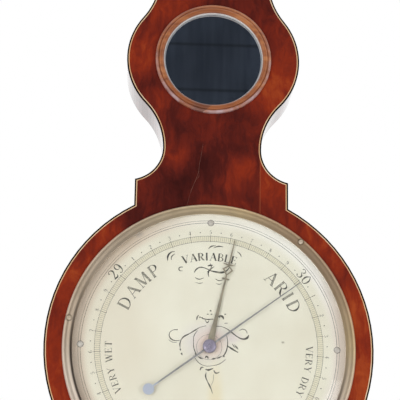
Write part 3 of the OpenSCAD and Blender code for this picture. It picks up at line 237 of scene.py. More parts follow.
def handSteel(look):
    made, add, place = newMaterial("fadedBluedSteel")
    patina = add("TexNoise", {"Vector": place, "Size": look["patina"], "Detail": 3})
    ramp = add("ValToRGB", [patina], look["tones"])
    x, y, z = look["disc"]
    away = add("VectorMath", [place, (x * mm, y * mm, dialZ + z * mm)], "DISTANCE")
    onDisc = add("MapRange", [away, look["near"] * mm, look["far"] * mm, 1, 0])
    colour = add("Mix", {0: onDisc, 6: ramp, 7: look["lilac"]}, data_type="RGBA")
    rough = add("MapRange", [patina, 0, 1, *look["rough"]])
    shader = add("BsdfPrincipled", {"Base Color": colour, "Metallic": 0.5, "Roughness": rough})
    add("OutputMaterial", [shader])
    return made


# turned fruitwood: orange-brown inside, its outer bead rubbed pale and pinkish, with a painted highlight from
# below that makes it palest at the bottom
ringLook = {
    "figure": 7.692, "wear": 9.091, "bead": 43.6, "outer": 45.2, "paleFrom": 20,  # mm
    "tones": spaced("#8a4a28", "#ad663a", "#c98450"), "pale": "#c9adb0", "scarfTone": "#70402f",
    "scarf": (-8.5, -42.5), "scarfReach": 11, "slope": 1.4, "slopeFrom": 56.5,  # mm from its centre
}


def turnedRing(look):
    made, add, place = newMaterial("turnedFruitwood")
    centred = add("Mapping", {"Vector": place, "Location": (0, 0, -mirrorZ), "Scale": (1, 0, 1)})
    parts = add("SeparateXYZ", [centred])
    reach = add("VectorMath", [centred], "LENGTH")
    run = add("Mapping", {"Vector": place, "Scale": (0.2, 1, 1), "Rotation": (0, 0.5, 0)})
    bands = add("TexNoise", {"Vector": run, "Size": look["figure"], "Detail": 5, "Distortion": 0.8})
    spread = add("MapRange", [bands, *noiseSpan])
    ramp = add("ValToRGB", [spread], look["tones"])
    wear = add("TexNoise", {"Vector": centred, "Size": look["wear"], "Detail": 3})
    worn = add("MapRange", [wear, 0.35, 0.65, 0.1, 0.9])
    outer = look["outer"] * mm
    onBead = add("MapRange", [reach, look["bead"] * mm, outer], **eased)
    # painted light: the pale on the bead grows towards the bottom as if lit from below
    below = add("MapRange", [parts.outputs["Z"], look["paleFrom"] * mm, -outer, 0.2, 1.3])
    wornBead = add("Math", [onBead, worn], "MULTIPLY")
    pale = add("Math", [wornBead, below], "MULTIPLY", use_clamp=True)
    colour = add("Mix", {0: pale, 6: ramp, 7: look["pale"]}, data_type="RGBA")
    # a let-in piece left of the bottom, cut off sharply on a slant
    x, z = look["scarf"]
    away = add("VectorMath", [centred, (x * mm, 0, z * mm)], "DISTANCE")
    edge = look["scarfReach"] * mm
    inPiece = add("MapRange", [away, edge / 2, edge, 0.75, 0])
    slope = add("Math", [parts.outputs["Z"], look["slope"], look["slopeFrom"] * mm], "MULTIPLY_ADD")
    left = add("Math", [parts.outputs["X"], slope], "LESS_THAN")
    patch = add("Math", [inPiece, left], "MULTIPLY")
    colour = add("Mix", {0: patch, 6: colour, 7: look["scarfTone"]}, data_type="RGBA")
    shader = add("BsdfPrincipled", {"Base Color": colour, "Roughness": 0.32, "IOR": 1.5, "Coat Weight": 0.3,
                                    "Coat Roughness": 0.12})
    add("OutputMaterial", [shader])
    return made


def agedMetal(name, bright, dull, rough, size, metallic=1):
    # metal that is bright where it is handled and dull in cloudy patches
    made, add, place = newMaterial(name)
    cloud = add("TexNoise", {"Vector": place, "Size": size, "Detail": 5, "Roughness": 0.6})
    level = add("MapRange", [cloud, 0.35, 0.7])
    ramp = add("ValToRGB", [level], spaced(bright, dull))
    roughness = add("MapRange", [level, 0, 1, *rough])
    shader = add("BsdfPrincipled", {"Base Color": ramp, "Metallic": metallic, "Roughness": roughness})
    add("OutputMaterial", [shader])
    return made


# worn brass, tarnished in cloudy patches, with painted light: painted darker at the upper right and paler at
# the lower left, and painted shade in the lip and round the screws
bezelLook = {
    "towards": (-0.77, 0, -0.64), "screws": (40, 160, 280), "rough": (0.26, 0.42),
    "cloud": 22.22, "lip": 104.2, "lipNear": 0.5, "lipFar": 1.2, "edge": 109.8, "edgeFull": 111.2,  # mm
    "screwReach": 108.1, "screwShadeNear": 2.3, "screwShadeFar": 3.1,
    # all tones but the dull one are painted light and shade: a lit lower half, an edge highlight, and shadows
    # in the lip and round the screws
    "dull": "#a18c6e", "pale": "#f6e2cf", "bright": "#fffaea", "lipShade": "#39281f", "screwShade": "#4a3c28",
    "tones": [(0, "#c2a588"), (0.1, "#e2c79b"), (0.2, "#dfc8a2"), (0.5, "#d6c3ab"), (0.86, "#dcc7b0"),
              (1, "#fff4e4")],
}


def wornBezel(look):
    made, add, place = newMaterial("wornBezelBrassWithPaintedLight")
    centred = add("Mapping", {"Vector": place, "Location": (0, 0, -dialZ), "Scale": (1, 0, 1)})
    reach = add("VectorMath", [centred], "LENGTH")
    heading = add("VectorMath", [centred], "NORMALIZE")
    # painted light and shade: the tones run from shaded at the upper right to lit at the lower left
    side = add("VectorMath", [heading, look["towards"]], "DOT_PRODUCT")
    turn = add("MapRange", [side, -1, 1])
    colour = add("ValToRGB", [turn], look["tones"])
    cloud = add("TexNoise", {"Vector": place, "Size": look["cloud"], "Detail": 5, "Roughness": 0.6})
    dull = add("MapRange", [cloud, 0.4, 0.7, 0, 0.35])
    # painted light: the lower half is painted paler, the lip gets a painted shadow line, and the outer edge
    # gets a painted highlight at the lower left
    down = add("SeparateXYZ", [heading]).outputs["Z"]
    lower = add("MapRange", [down, 0, -0.45, 0, 0.8])
    onLeft = add("MapRange", [side, 0.35, 0.8])
    onEdge = add("MapRange", [reach, look["edge"] * mm, look["edgeFull"] * mm])
    edgeHighlight = add("Math", [onLeft, onEdge], "MULTIPLY")
    fromLip = add("Math", [reach, look["lip"] * mm], "SUBTRACT")
    offLip = add("Math", [fromLip], "ABSOLUTE")
    onLip = add("MapRange", [offLip, look["lipNear"] * mm, look["lipFar"] * mm, 0.88, 0])
    lipShadeSide = add("Math", [onLeft, lower], "MAXIMUM")
    lipShade = add("Math", [lipShadeSide, onLip], "MULTIPLY")
    layers = [(dull, "dull"), (lower, "pale"), (edgeHighlight, "bright"), (lipShade, "lipShade")]
    # a painted shadow ring round each screw
    for degrees in look["screws"]:
        angle, out = math.radians(degrees), look["screwReach"] * mm
        spot = (out * math.sin(angle), 0, out * math.cos(angle))
        away = add("VectorMath", [centred, spot], "DISTANCE")
        screwShade = add("MapRange", [away, look["screwShadeNear"] * mm, look["screwShadeFar"] * mm, 0.5, 0])
        layers.append((screwShade, "screwShade"))
    for share, name in layers:
        colour = add("Mix", {0: share, 6: colour, 7: look[name]}, data_type="RGBA")
    rough = add("MapRange", [cloud, 0, 1, *look["rough"]])
    shader = add("BsdfPrincipled", {"Base Color": colour, "Metallic": 0.55, "Roughness": rough})
    add("OutputMaterial", [shader])
    return made


# frosted silvering, yellowed under its varnish: cream, pinker at the left rim, and lilac-white at the right
# as a painted reflection
dialLook = {
    "tones": spaced("#e8e4d6", "#dfd9c9"), "bandTone": "#d2c8a2", "bandShare": 0.32, "rough": (0.42, 0.56),
    "cloud": 45.45, "grit": 1.111,  # mm
    "band": 84.6, "bandHalf": 2.1, "rimFrom": 90.8, "rimFull": 98.8, "reach": 100,  # mm from the centre
    # rim tones across the dial: pinker tarnish at the left, and a painted reflection whiter towards the right
    "rimTarnishAndReflection": [(0, "#c6b2a2"), (0.2, "#d0bcaa"), (0.45, "#eee8de"), (0.8, "#f5f2ee"), (0.92, "#f3eeeb"),
                 (1, "#dccdc2")],
    "stains": [  # x, z, half width, half height in mm, colour and strength
        (-2, 4, 24, 19, "#d4cbcf", 0.75), (1, 3, 15, 14, "#e2c9be", 0.85), (18, 8, 9, 6, "#d6c8cc", 0.6),
        (5, -42, 8, 36, "#e0cfa4", 0.5), (-70, 10, 40, 90, "#d6cab8", 0.45), (-56, 87, 5, 4, "#9c8f8c", 0.5),
        (56, 5, 1.6, 1.2, "#8a8474", 0.7),
    ],
}


def silveredDial(look):
    made, add, place = newMaterial("yellowedSilveredBrass")
    centred = add("Mapping", {"Vector": place, "Location": (0, -dialFace, -dialZ)})
    across = add("SeparateXYZ", [centred]).outputs["X"]
    reach = add("VectorMath", [centred], "LENGTH")
    cloud = add("TexNoise", {"Vector": centred, "Size": look["cloud"], "Detail": 4})
    grit = add("TexNoise", {"Vector": centred, "Size": look["grit"], "Detail": 2})
    soft = add("MapRange", [cloud, 0.35, 0.7])
    colour = add("ValToRGB", [soft], look["tones"])
    # the scale band is a little yellower, and the border outside the engraved circles takes the tarnish and a
    # painted reflection, whitest towards the right
    band = add("Math", [reach, look["band"] * mm, look["bandHalf"] * mm], "COMPARE")
    bandSoft = add("Math", [band, look["bandShare"]], "MULTIPLY")
    colour = add("Mix", {0: bandSoft, 6: colour, 7: look["bandTone"]}, data_type="RGBA")
    rim = add("MapRange", [reach, look["rimFrom"] * mm, look["rimFull"] * mm], **eased)
    turn = add("MapRange", [across, -look["reach"] * mm, look["reach"] * mm])
    rimTintAndReflection = add("ValToRGB", [turn], look["rimTarnishAndReflection"])
    colour = add("Mix", {0: rim, 6: colour, 7: rimTintAndReflection}, data_type="RGBA")
    for x, z, wide, tall, code, strength in look["stains"]:
        grow = (1 / (wide * mm), 0, 1 / (tall * mm))
        spot = add("Mapping", {"Vector": centred, "Location": (-x / wide, 0, -z / tall), "Scale": grow})
        far = add("VectorMath", [spot], "LENGTH")
        share = add("MapRange", [far, 0.2, 1.1, strength, 0], **eased)
        colour = add("Mix", {0: share, 6: colour, 7: code}, data_type="RGBA")
    rough = add("MapRange", [grit, 0, 1, *look["rough"]])
    shader = add("BsdfPrincipled", {"Base Color": colour, "Metallic": 0.1, "Roughness": rough})
    add("OutputMaterial", [shader])
    return made


# old clear glass: seen through, with soft reflections; light reaches what lies behind it
glassLook = {"tint": "#fbfcfa", "haze": 33.33, "rough": (0, 0.03)}  # haze in mm


def clearGlass(look):
    made, add, place = newMaterial("oldClearGlass")
    shadow = add("LightPath").outputs["Is Shadow Ray"]
    haze = add("TexNoise", {"Vector": place, "Size": look["haze"], "Detail": 3})
    smear = add("MapRange", [haze, 0.4, 0.8, *look["rough"]])
    pane = add("BsdfPrincipled", {"Base Color": look["tint"], "Roughness": smear, "IOR": 1.5,
                                  "Transmission Weight": 1})
    through = add("BsdfTransparent", {"Color": look["tint"]})
    add("OutputMaterial", [add("MixShader", [shadow, pane, through])])
    return made


# the level's glass vial: yellow-green spirit with a bubble between two index lines
vialLook = {
    "spirit": spaced("#a7a566", "#c0bb84"), "lineTone": "#2a2c22", "bubbleUp": 0.5,  # of its half height
    "cloud": 11.11, "bubble": (5.5, 1.5), "lines": 7, "half": 0.25,  # mm
    "bubbleTones": [(0, "#f4f4e2"), (0.7, "#e6e4c0"), (0.86, "#66642f"), (1, "#a7a566")],
}


def spiritVial(look):
    made, add, place = newMaterial("levelVialSpirit")
    centred = add("Mapping", {"Vector": place, "Location": [-c for c in middle("level_vial")]})
    cloud = add("TexNoise", {"Vector": centred, "Size": look["cloud"], "Detail": 2})
    ramp = add("ValToRGB", [cloud], look["spirit"])
    wide, tall = look["bubble"]
    grow = (1 / (wide * mm), 0, 1 / (tall * mm))
    lifted = add("Mapping", {"Vector": centred, "Location": (0, 0, -look["bubbleUp"]), "Scale": grow})
    away = add("VectorMath", [lifted], "LENGTH")
    bubble = add("ValToRGB", [away], look["bubbleTones"])
    inside = add("Math", [away, 1], "LESS_THAN")
    colour = add("Mix", {0: inside, 6: ramp, 7: bubble}, data_type="RGBA")
    out = add("Math", [add("SeparateXYZ", [centred]).outputs["X"]], "ABSOLUTE")
    line = add("Math", [out, look["lines"] * mm, look["half"] * mm], "COMPARE")
    colour = add("Mix", {0: line, 6: colour, 7: look["lineTone"]}, data_type="RGBA")
    shader = add("BsdfPrincipled", {"Base Color": colour, "Roughness": 0.08, "IOR": 1.5,
                                    "Subsurface Weight": 0.15, "Coat Weight": 0.6})
    add("OutputMaterial", [shader])
    return made


# silvered plate glass seen from the front, the foil gone grey in vertical streaks
mirrorLook = {"tones": spaced("#c9ced4", "#e4e8ec"), "streak": 6.25, "spots": 2.381,  # mm
              "rough": (0.02, 0.3)}


def mirrorPlate(look):
    made, add, place = newMaterial("foxedMirrorPlate")
    run = add("Mapping", {"Vector": place, "Scale": (1, 1, 0.08)})
    streak = add("TexNoise", {"Vector": run, "Size": look["streak"], "Detail": 3})
    spots = add("TexNoise", {"Vector": place, "Size": look["spots"], "Detail": 2})
    level = add("MapRange", [streak, 0.35, 0.7])
    ramp = add("ValToRGB", [level], look["tones"])
    fox = add("MapRange", [spots, 0.8, 0.84, *look["rough"]])
    add("OutputMaterial", [add("BsdfPrincipled", {"Base Color": ramp, "Metallic": 1, "Roughness": fox})])
    return made


def softMatter(name, stops, size, rough, ior=1.5, sub=0):
    # bone, wax, silk and spirit: one body colour with slow clouds
    made, add, place = newMaterial(name)
    cloud = add("TexNoise", {"Vector": place, "Size": size, "Detail": 4})
    level = add("MapRange", [cloud, *noiseSpan])
    ramp = add("ValToRGB", [level], stops)
    shader = add("BsdfPrincipled", {"Base Color": ramp, "Roughness": rough, "IOR": ior,
                                    "Subsurface Weight": sub})
    add("OutputMaterial", [shader])
    return made


# finishes that the scene's own pieces share: a liquid mirror, dull thread, black wax rubbed grey, dusty brown
quicksilver = agedMetal("mercury", "#e2e4e6", "#cfd2d6", (0.03, 0.06), 25)
silk = softMatter("waxedSilk", spaced("#5d5240", "#857763"), 1.111, 0.8)
wax = softMatter("engraversWax", [(0, "#2e2b24"), (0.55, "#45423a"), (1, "#8f8b7c")], 3.846, 0.6)
crackFill = softMatter("dryHairline", spaced("#54291f", "#8d5f50"), 3.333, 0.8)

finishes = [
    (flameMahogany(veneerLook), ["front_veneer"]),
    # glossy red-brown, streaked: the sides, left pale and bare at the back, and the redder mouldings
    (straightWood("polishedMahoganySides", spaced("#4a1a14", "#6b2719", "#8a381f"), 2, 14.29, 0.2, 1,
                  spaced("#8a6a48", "#a5835b", "#bd9a70")), ["case_carcass"]),
    (straightWood("polishedMahoganyMoulding", spaced("#4a1a14", "#722a1a", "#933c20"), 0, 12.5, 0.2, 0.3),
     ["cornice", "pediment_board", "swan_neck_mouldings", "pediment_rosettes", "finial_plinth"]),
    # honey-pale line beside a black one
    (straightWood("boxwoodLine", spaced("#deab78", "#efc596", "#f8dcb8"), 2, 5, 0.4),
     ["boxwood_stringing"]),
    (straightWood("ebonisedLine", spaced("#0c0504", "#150a08", "#20100d"), 2, 5, 0.6, ior=1.2),
     ["ebony_edging"]),
    (turnedRing(ringLook), ["mirror_ring"]),
    # planed, never polished: yellow-brown and dry
    (straightWood("oldPine", spaced("#a9825a", "#c29c70", "#d4b185"), 2, 16.67, 0.7, streak=0.12),
     ["back_door", "tube_cradles"]),
    (silveredDial(dialLook), ["dial_plate", "dial_bush"]),
    # silvering that is frosted, chalky pale or brushed grey
    (agedMetal("silveredScalePlate", "#e6e1cd", "#cdc4aa", (0.4, 0.55), 16.67, 0.15), ["thermometer_scale"]),
    (agedMetal("frostedSilver", "#f3eee6", "#ded5c8", (0.45, 0.6), 8.333, 0.05), ["glass_ring"]),
    (agedMetal("silveredSlip", "#fdfaf8", "#e6e2e2", (0.4, 0.55), 5, 0.05), ["mirror_slip"]),
    (agedMetal("silveredScrew", "#dad3cd", "#a59d99", (0.35, 0.5), 16.67, 0.25), ["dial_screws"]),
    # brass: golden under lacquer, rubbed pale on the screws and painted paler there as a highlight, gone grey
    # on the set hand
    (agedMetal("lacqueredBrass", "#dcb970", "#a8864c", (0.22, 0.38), 14.29, 0.75),
     ["finial", "thermometer_frame", "thermometer_clips", "trim_screws", "float_pulley", "set_wheel",
      "rod_bush", "movement_bar", "back_cock", "tube_straps", "level_plate", "hinge_case_leaves",
      "hinge_door_leaves", "door_button", "hanging_plate"]),
    (wornBezel(bezelLook), ["dial_bezel"]),
    (agedMetal("screwBrassWornAndHighlit", "#efdfcb", "#c4b094", (0.3, 0.45), 3.333, 0.2), ["bezel_screws"]),
    (agedMetal("agedBrass", "#a09683", "#807868", (0.35, 0.55), 11.11, 0.5), ["set_hand"]),
    # steel and iron: lilac where it was blued, bright where it turns, dark grey when cast
    (handSteel(handLook), ["indicating_hand"]),
    (agedMetal("bluedSteelBoss", "#9890a8", "#7a7286", (0.25, 0.4), 5, 0.5), ["hand_boss"]),
    (agedMetal("plainSteel", "#b9b9b6", "#84827e", (0.28, 0.45), 8.333),
     ["hand_arbor", "set_rod", "inner_screws", "hinge_pins", "hinge_door_screws", "back_screws"]),
    (agedMetal("greyIron", "#6b6864", "#4a4744", (0.5, 0.65), 11.11), ["float", "counterweight"]),
    (quicksilver, ["mercury_column", "mercury_short_limb"]),
    (silk, ["thread_windings", "float_thread", "counterweight_thread"]),
    # ivory-white bone with a soft depth, and bright red spirit
    (softMatter("turnedBone", spaced("#e2d3b0", "#efe4c8", "#f6eedb"), 6.25, 0.38, 1.54, 0.1), ["set_knob"]),
    (softMatter("redSpirit", spaced("#9c1812", "#b8241a"), 16.67, 0.15, 1.36), ["thermometer_spirit"]),
    (clearGlass(glassLook),
     ["thermometer_tube", "thermometer_glass", "dial_glass", "siphon_tube", "guide_tube"]),
    (spiritVial(vialLook), ["level_vial"]),
    (mirrorPlate(mirrorLook), ["mirror_glass"]),
]
print("stage 2: materials ready")

for material, names in finishes:
    for name in names:
        nodes[name].data.materials.clear()
        nodes[name].data.materials.append(material)
print("stage 3: nodes dressed")

# engraving: wax-filled lines, a few hundredths of a millimetre proud of the metal
engraving = {"lift": 0.01, "proud": 0.04, "ringSides": 220, "curveSteps": 5}


def pick(*pieces):
    bpy.ops.object.select_all(action="DESELECT")
    for piece in pieces:
        piece.select_set(True)
    bpy.context.view_layer.objects.active = pieces[0]


def editAll():
    bpy.ops.object.mode_set(mode="EDIT")
    bpy.ops.mesh.select_all(action="SELECT")


def standUp(piece, face, z, proud):
    # a drawing in the ground plane becomes a thin relief on a face seen from the front
    pick(piece)
    piece.rotation_euler = (math.pi / 2, 0, 0)
    piece.location = (0, face, z)
    bpy.ops.object.transform_apply()
    if sum(p.normal.y for p in piece.data.polygons) > 0:
        editAll()
        bpy.ops.mesh.flip_normals()
        bpy.ops.object.mode_set(mode="OBJECT")
    bpy.ops.object.modifier_add(type="SOLIDIFY")
    relief = piece.modifiers[0]
    relief.thickness, relief.offset = proud * mm, 1
    bpy.ops.object.modifier_apply(modifier=relief.name)
    return piece


def settle(piece, name, material):
    piece.name = piece.data.name = name
    piece.data.materials.clear()
    piece.data.materials.append(material)
    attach(piece, "case")


def engrave(piece, name):
    standUp(piece, dialFace - engraving["lift"] * mm, dialZ, engraving["proud"])
    settle(piece, name, wax)


def joined(*pieces):
    pick(*pieces)
    bpy.ops.object.join()
    return pieces[0]


def flatRing(radius, width):
    # an annulus: a circle, its edge extruded and scaled out
    inner, outer = radius - width / 2, radius + width / 2
    bpy.ops.mesh.primitive_circle_add(vertices=engraving["ringSides"], radius=inner * mm, fill_type="NOTHING")
    editAll()
    bpy.ops.mesh.extrude_edges_move()
    bpy.ops.transform.resize(value=(outer / inner, outer / inner, 1), center_override=(0, 0, 0))
    bpy.ops.object.mode_set(mode="OBJECT")
    return bpy.context.active_object


def flatTicks(inner, outer, width, first, step, count):
    # one short bar at its radius, repeated round the centre
    bpy.ops.object.empty_add(rotation=(0, 0, -math.radians(step)))
    turn = bpy.context.active_object
    bpy.ops.mesh.primitive_plane_add(size=1)
    tick = bpy.context.active_object
    tick.scale = (width * mm, (outer - inner) * mm, 1)
    tick.location = (0, (inner + outer) / 2 * mm, 0)
    bpy.ops.object.transform_apply()
    bpy.ops.object.modifier_add(type="ARRAY")
    repeat = tick.modifiers[0]
    repeat.count = count
    repeat.use_relative_offset = False
    repeat.use_object_offset = True
    repeat.offset_object = turn
    bpy.ops.object.modifier_apply(modifier=repeat.name)
    tick.rotation_euler = (0, 0, -math.radians(first))
    bpy.ops.object.transform_apply()
    bpy.data.objects.remove(turn)
    return tick


def newCurve(name):
    made = bpy.data.curves.new(name, "CURVE")
    made.dimensions = "3D"
    piece = bpy.data.objects.new(name, made)
    bpy.context.collection.objects.link(piece)
    return made, piece


def penDrawing(strokes):
    # pen strokes with their own width at each point, in millimetres
    nib, nibPiece = newCurve("nib")
    edge = nib.splines.new("POLY")
    edge.points.add(1)
    edge.points[0].co = (-0.5 * mm, 0, 0, 1)
    edge.points[1].co = (0.5 * mm, 0, 0, 1)
    line, drawing = newCurve("pen")
    line.twist_mode = "Z_UP"
    line.resolution_u = engraving["curveSteps"]
    line.bevel_mode = "OBJECT"
    line.bevel_object = nibPiece
    for stroke in strokes:
        spline = line.splines.new("BEZIER")
        spline.bezier_points.add(len(stroke) - 1)
        for point, (x, z, width) in zip(spline.bezier_points, stroke):
            point.co = (x * mm, z * mm, 0)
            point.radius = width
            point.handle_left_type = point.handle_right_type = "AUTO"
    pick(drawing)
    bpy.ops.object.convert(target="MESH")
    bpy.data.objects.remove(nibPiece)
    return bpy.context.active_object


# pen numerals and plain capitals: advance, then strokes of x, height and width in cap heights
thick, thin, nick = 0.15, 0.04, 0.05
foot, head = 0.015, 0.985  # heights of the serifs


def bar(x):
    return [(x, 0, thick), (x, 1, thick)]


def flat(left, right, height):
    return [(left, height, thin), (right, height, thin)]


def slope(x, z, endX, endZ, width=thin):
    return [(x, z, width), (endX, endZ, width)]


stem, feet = bar(0.12), [flat(0, 0.24, foot), flat(0, 0.24, head)]
glyphs = {
    "0": (.66, [[(.33, .98, thin), (.08, .5, thick), (.33, .02, thin), (.58, .5, thick), (.33, .98, thin)]]),
    "1": (.44, [bar(.22), slope(.06, .84, .22, .98), flat(.08, .36, foot)]),
    "2": (.66, [[(.12, .76, .12), (.18, .92, .07), (.34, .98, thin), (.55, .76, thick), (.36, .38, .08),
                 (.06, .05, thin)], [(.06, .05, thin), (.2, .1, thick), (.44, .04, .12), (.6, .2, thin)]]),
    "3": (.62, [[(.1, .84, .1), (.3, .98, thin), (.5, .78, .12), (.26, .54, thin)],
                [(.26, .54, thin), (.54, .28, thick), (.28, .02, thin), (.08, .16, .12)]]),
    "4": (.66, [slope(.44, 1, .04, .3), slope(.04, .3, .62, .3, nick), bar(.44)]),
    "5": (.62, [[(.16, .95, .1), (.52, .97, .06)], slope(.16, .96, .13, .58),
                [(.13, .58, thin), (.32, .64, .06), (.53, .34, thick), (.28, .02, thin), (.08, .14, .12)]]),
    "6": (.64, [[(.5, .88, .1), (.34, .98, thin), (.1, .42, thick), (.32, .02, thin), (.55, .3, .13),
                 (.34, .56, thin), (.12, .36, nick)]]),
    "7": (.6, [[(.06, .94, .11), (.56, .94, .08)], [(.56, .94, thin), (.34, .5, .08), (.22, 0, thick)]]),
    "8": (.64, [[(.32, .52, .1), (.12, .77, .1), (.32, .98, thin), (.5, .77, .07), (.32, .52, .1),
                 (.08, .26, .08), (.32, .02, thin), (.57, .26, .13), (.32, .52, .1)]]),
    "9": (.64, [[(.14, .12, .1), (.3, .02, thin), (.54, .58, thick), (.32, .98, thin), (.09, .7, .13),
                 (.3, .44, thin), (.52, .64, nick)]]),
    "A": (.86, [slope(.06, 0, .42, 1), slope(.42, 1, .78, 0, thick), flat(.18, .62, .35),
                flat(-.04, .18, foot), flat(.64, .92, foot)]),
    "B": (.72, [stem,
                [(.12, .98, thin), (.44, .96, thin), (.56, .76, .12), (.42, .54, thin), (.12, .53, thin)],
                [(.42, .53, thin), (.64, .27, thick), (.44, .03, thin), (0, .02, thin)]]),
    "D": (.84, [stem, *feet,
                [(.12, .98, thin), (.46, .94, .06), (.74, .5, thick), (.46, .06, .06), (.12, .02, thin)]]),
    "E": (.72, [stem, flat(0, .6, .98), flat(.12, .46, .52), flat(0, .64, .02),
                [(.6, 1, nick), (.58, .78, thin)], [(.64, 0, nick), (.66, .24, thin)],
                slope(.46, .62, .46, .42)]),
    "I": (.36, [stem, *feet]),
    "L": (.68, [stem, *feet, flat(.12, .6, .02), [(.6, 0, nick), (.63, .26, thin)]]),
    "M": (1.04, [slope(.1, 0, .12, 1), slope(.12, 1, .48, .04, thick), slope(.48, .04, .84, 1), bar(.88),
                 flat(-.02, .24, foot), flat(.76, 1, foot), flat(0, .14, head)]),
    "P": (.74, [stem, feet[0],
                [(0, .98, thin), (.42, .97, thin), (.62, .74, thick), (.42, .48, thin), (.12, .47, thin)]]),
    "R": (.82, [stem, *feet,
                [(.12, .98, thin), (.44, .97, thin), (.6, .76, thick), (.42, .53, thin), (.12, .52, thin)],
                [(.36, .52, .1), (.6, .14, thick), (.8, .02, thin)]]),
    "T": (.76, [bar(.38), flat(.04, .72, .98), [(.04, 1, nick), (.02, .76, thin)],
                [(.72, 1, nick), (.74, .76, thin)], flat(.24, .52, foot)]),
    "V": (.84, [slope(.08, 1, .42, 0, thick), slope(.42, 0, .76, 1), flat(-.06, .22, head),
                flat(.64, .88, head)]),
    "W": (1.14, [slope(.08, 1, .34, 0, thick), slope(.34, 0, .58, .92), slope(.56, .96, .82, 0, thick),
                 slope(.82, 0, 1.06, 1), flat(-.06, .22, head), flat(.94, 1.18, head)]),
    "Y": (.8, [slope(.08, 1, .4, .48, thick), slope(.72, 1, .42, .48), slope(.4, 0, .4, .5, thick),
               flat(-.06, .22, head), flat(.6, .84, head), flat(.26, .54, foot)]),
    " ": (.5, []),
}
hatching = {"cuts": (-0.42, 0, 0.42), "width": 0.26, "from": 0.1}  # shares of a stem, or of the height


def lettering(text, angle, radius, height, gap, hatch=False, weight=1):
    # letters stand on a circle round the dial centre; hatched letters have shaded stems of three cuts
    strokes = []
    widths = [glyphs[letter][0] + gap for letter in text]
    run = -sum(widths) / 2
    for letter, width in zip(text, widths):
        mid = math.radians(angle) + (run + width / 2) * height / radius
        run += width
        along, out = Vector((math.cos(mid), -math.sin(mid))), Vector((math.sin(mid), math.cos(mid)))
        half = glyphs[letter][0] / 2
        for stroke in glyphs[letter][1]:
            points = [(along * ((x - half) * height) + out * (radius + v * height), w * height * weight)
                      for x, v, w in stroke]
            if hatch and len(points) == 2 and points[0][1] > hatching["from"] * height:
                way = (points[1][0] - points[0][0]).normalized()
                square = Vector((-way.y, way.x))
                for cut in hatching["cuts"]:
                    strokes.append([(*(p + square * cut * w), w * hatching["width"]) for p, w in points])
            else:
                strokes.append([(*p, w) for p, w in points])
    return strokes


# the weather scale: 104 degrees of arc to the inch, 29.5 inches at the top; radii and widths in mm
scale = {
    "perInch": 104, "top": 29.5, "low": 28, "high": 31, "inner": 82.5, "outer": 86.7, "hundredth": 0.14,
    "tenth": (0.6, 0.8, 0.34), "dots": (89.3, 90.1, 0.7),
    "circles": [(82.5, 0.24), (86.7, 0.24), (97.2, 0.3), (99, 0.22)],
    "screws": 97.3, "screwShadeRing": (2.26, 0.58), "inchNumber": (87.9, 8.2, 0.1), "tenthNumber": (88.3, 3, 0),
}
inches = scale["high"] - scale["low"]
tenth = scale["perInch"] / 10
first = (scale["low"] - scale["top"]) * scale["perInch"]
past, beyond, bold = scale["tenth"]
bandParts = [flatRing(*circle) for circle in scale["circles"]] + [
    flatTicks(scale["inner"], scale["outer"], scale["hundredth"], first, tenth / 10, inches * 100 + 1),
    flatTicks(scale["inner"] - past, scale["outer"] + beyond, bold, first, tenth, inches * 10 + 1),
    flatTicks(*scale["dots"], first + tenth / 2, tenth, inches * 10),
]
for degrees in range(0, 360, 90):
    # a painted shadow line round each dial screw
    angle, out = math.radians(degrees), scale["screws"] * mm
    bandParts.append(flatRing(*scale["screwShadeRing"]))
    bandParts[-1].location = (out * math.sin(angle), out * math.cos(angle), 0)
    bpy.ops.object.transform_apply()
engrave(joined(*bandParts), "dialScaleBand")

numeralStrokes = []
for mark in range(scale["low"] * 10, scale["high"] * 10 + 1):
    place = (mark / 10 - scale["top"]) * scale["perInch"]
    if mark % 10:
        numeralStrokes += lettering(str(mark % 10), place, *scale["tenthNumber"])
    else:
        numeralStrokes += lettering(str(mark // 10), place, *scale["inchNumber"])
engrave(penDrawing(numeralStrokes), "dialNumerals")

words = [  # angle, radius, height, gap, hatched or not, weight
    ("DAMP", -50, 67.6, 9.6, 0.2, True), ("ARID", 52, 67.6, 9.6, 0.22, True),
    ("VERY WET", -103, 73.6, 5.2, 0.16), ("VERY DRY", 103, 73.6, 5.2, 0.16),
    ("VARIABLE", -0.5, 67.4, 6, 0.14, False, 1.35),
]
engrave(penDrawing([stroke for word in words for stroke in lettering(*word)]), "dialWords")
print("stage 4: dial scale engraved")

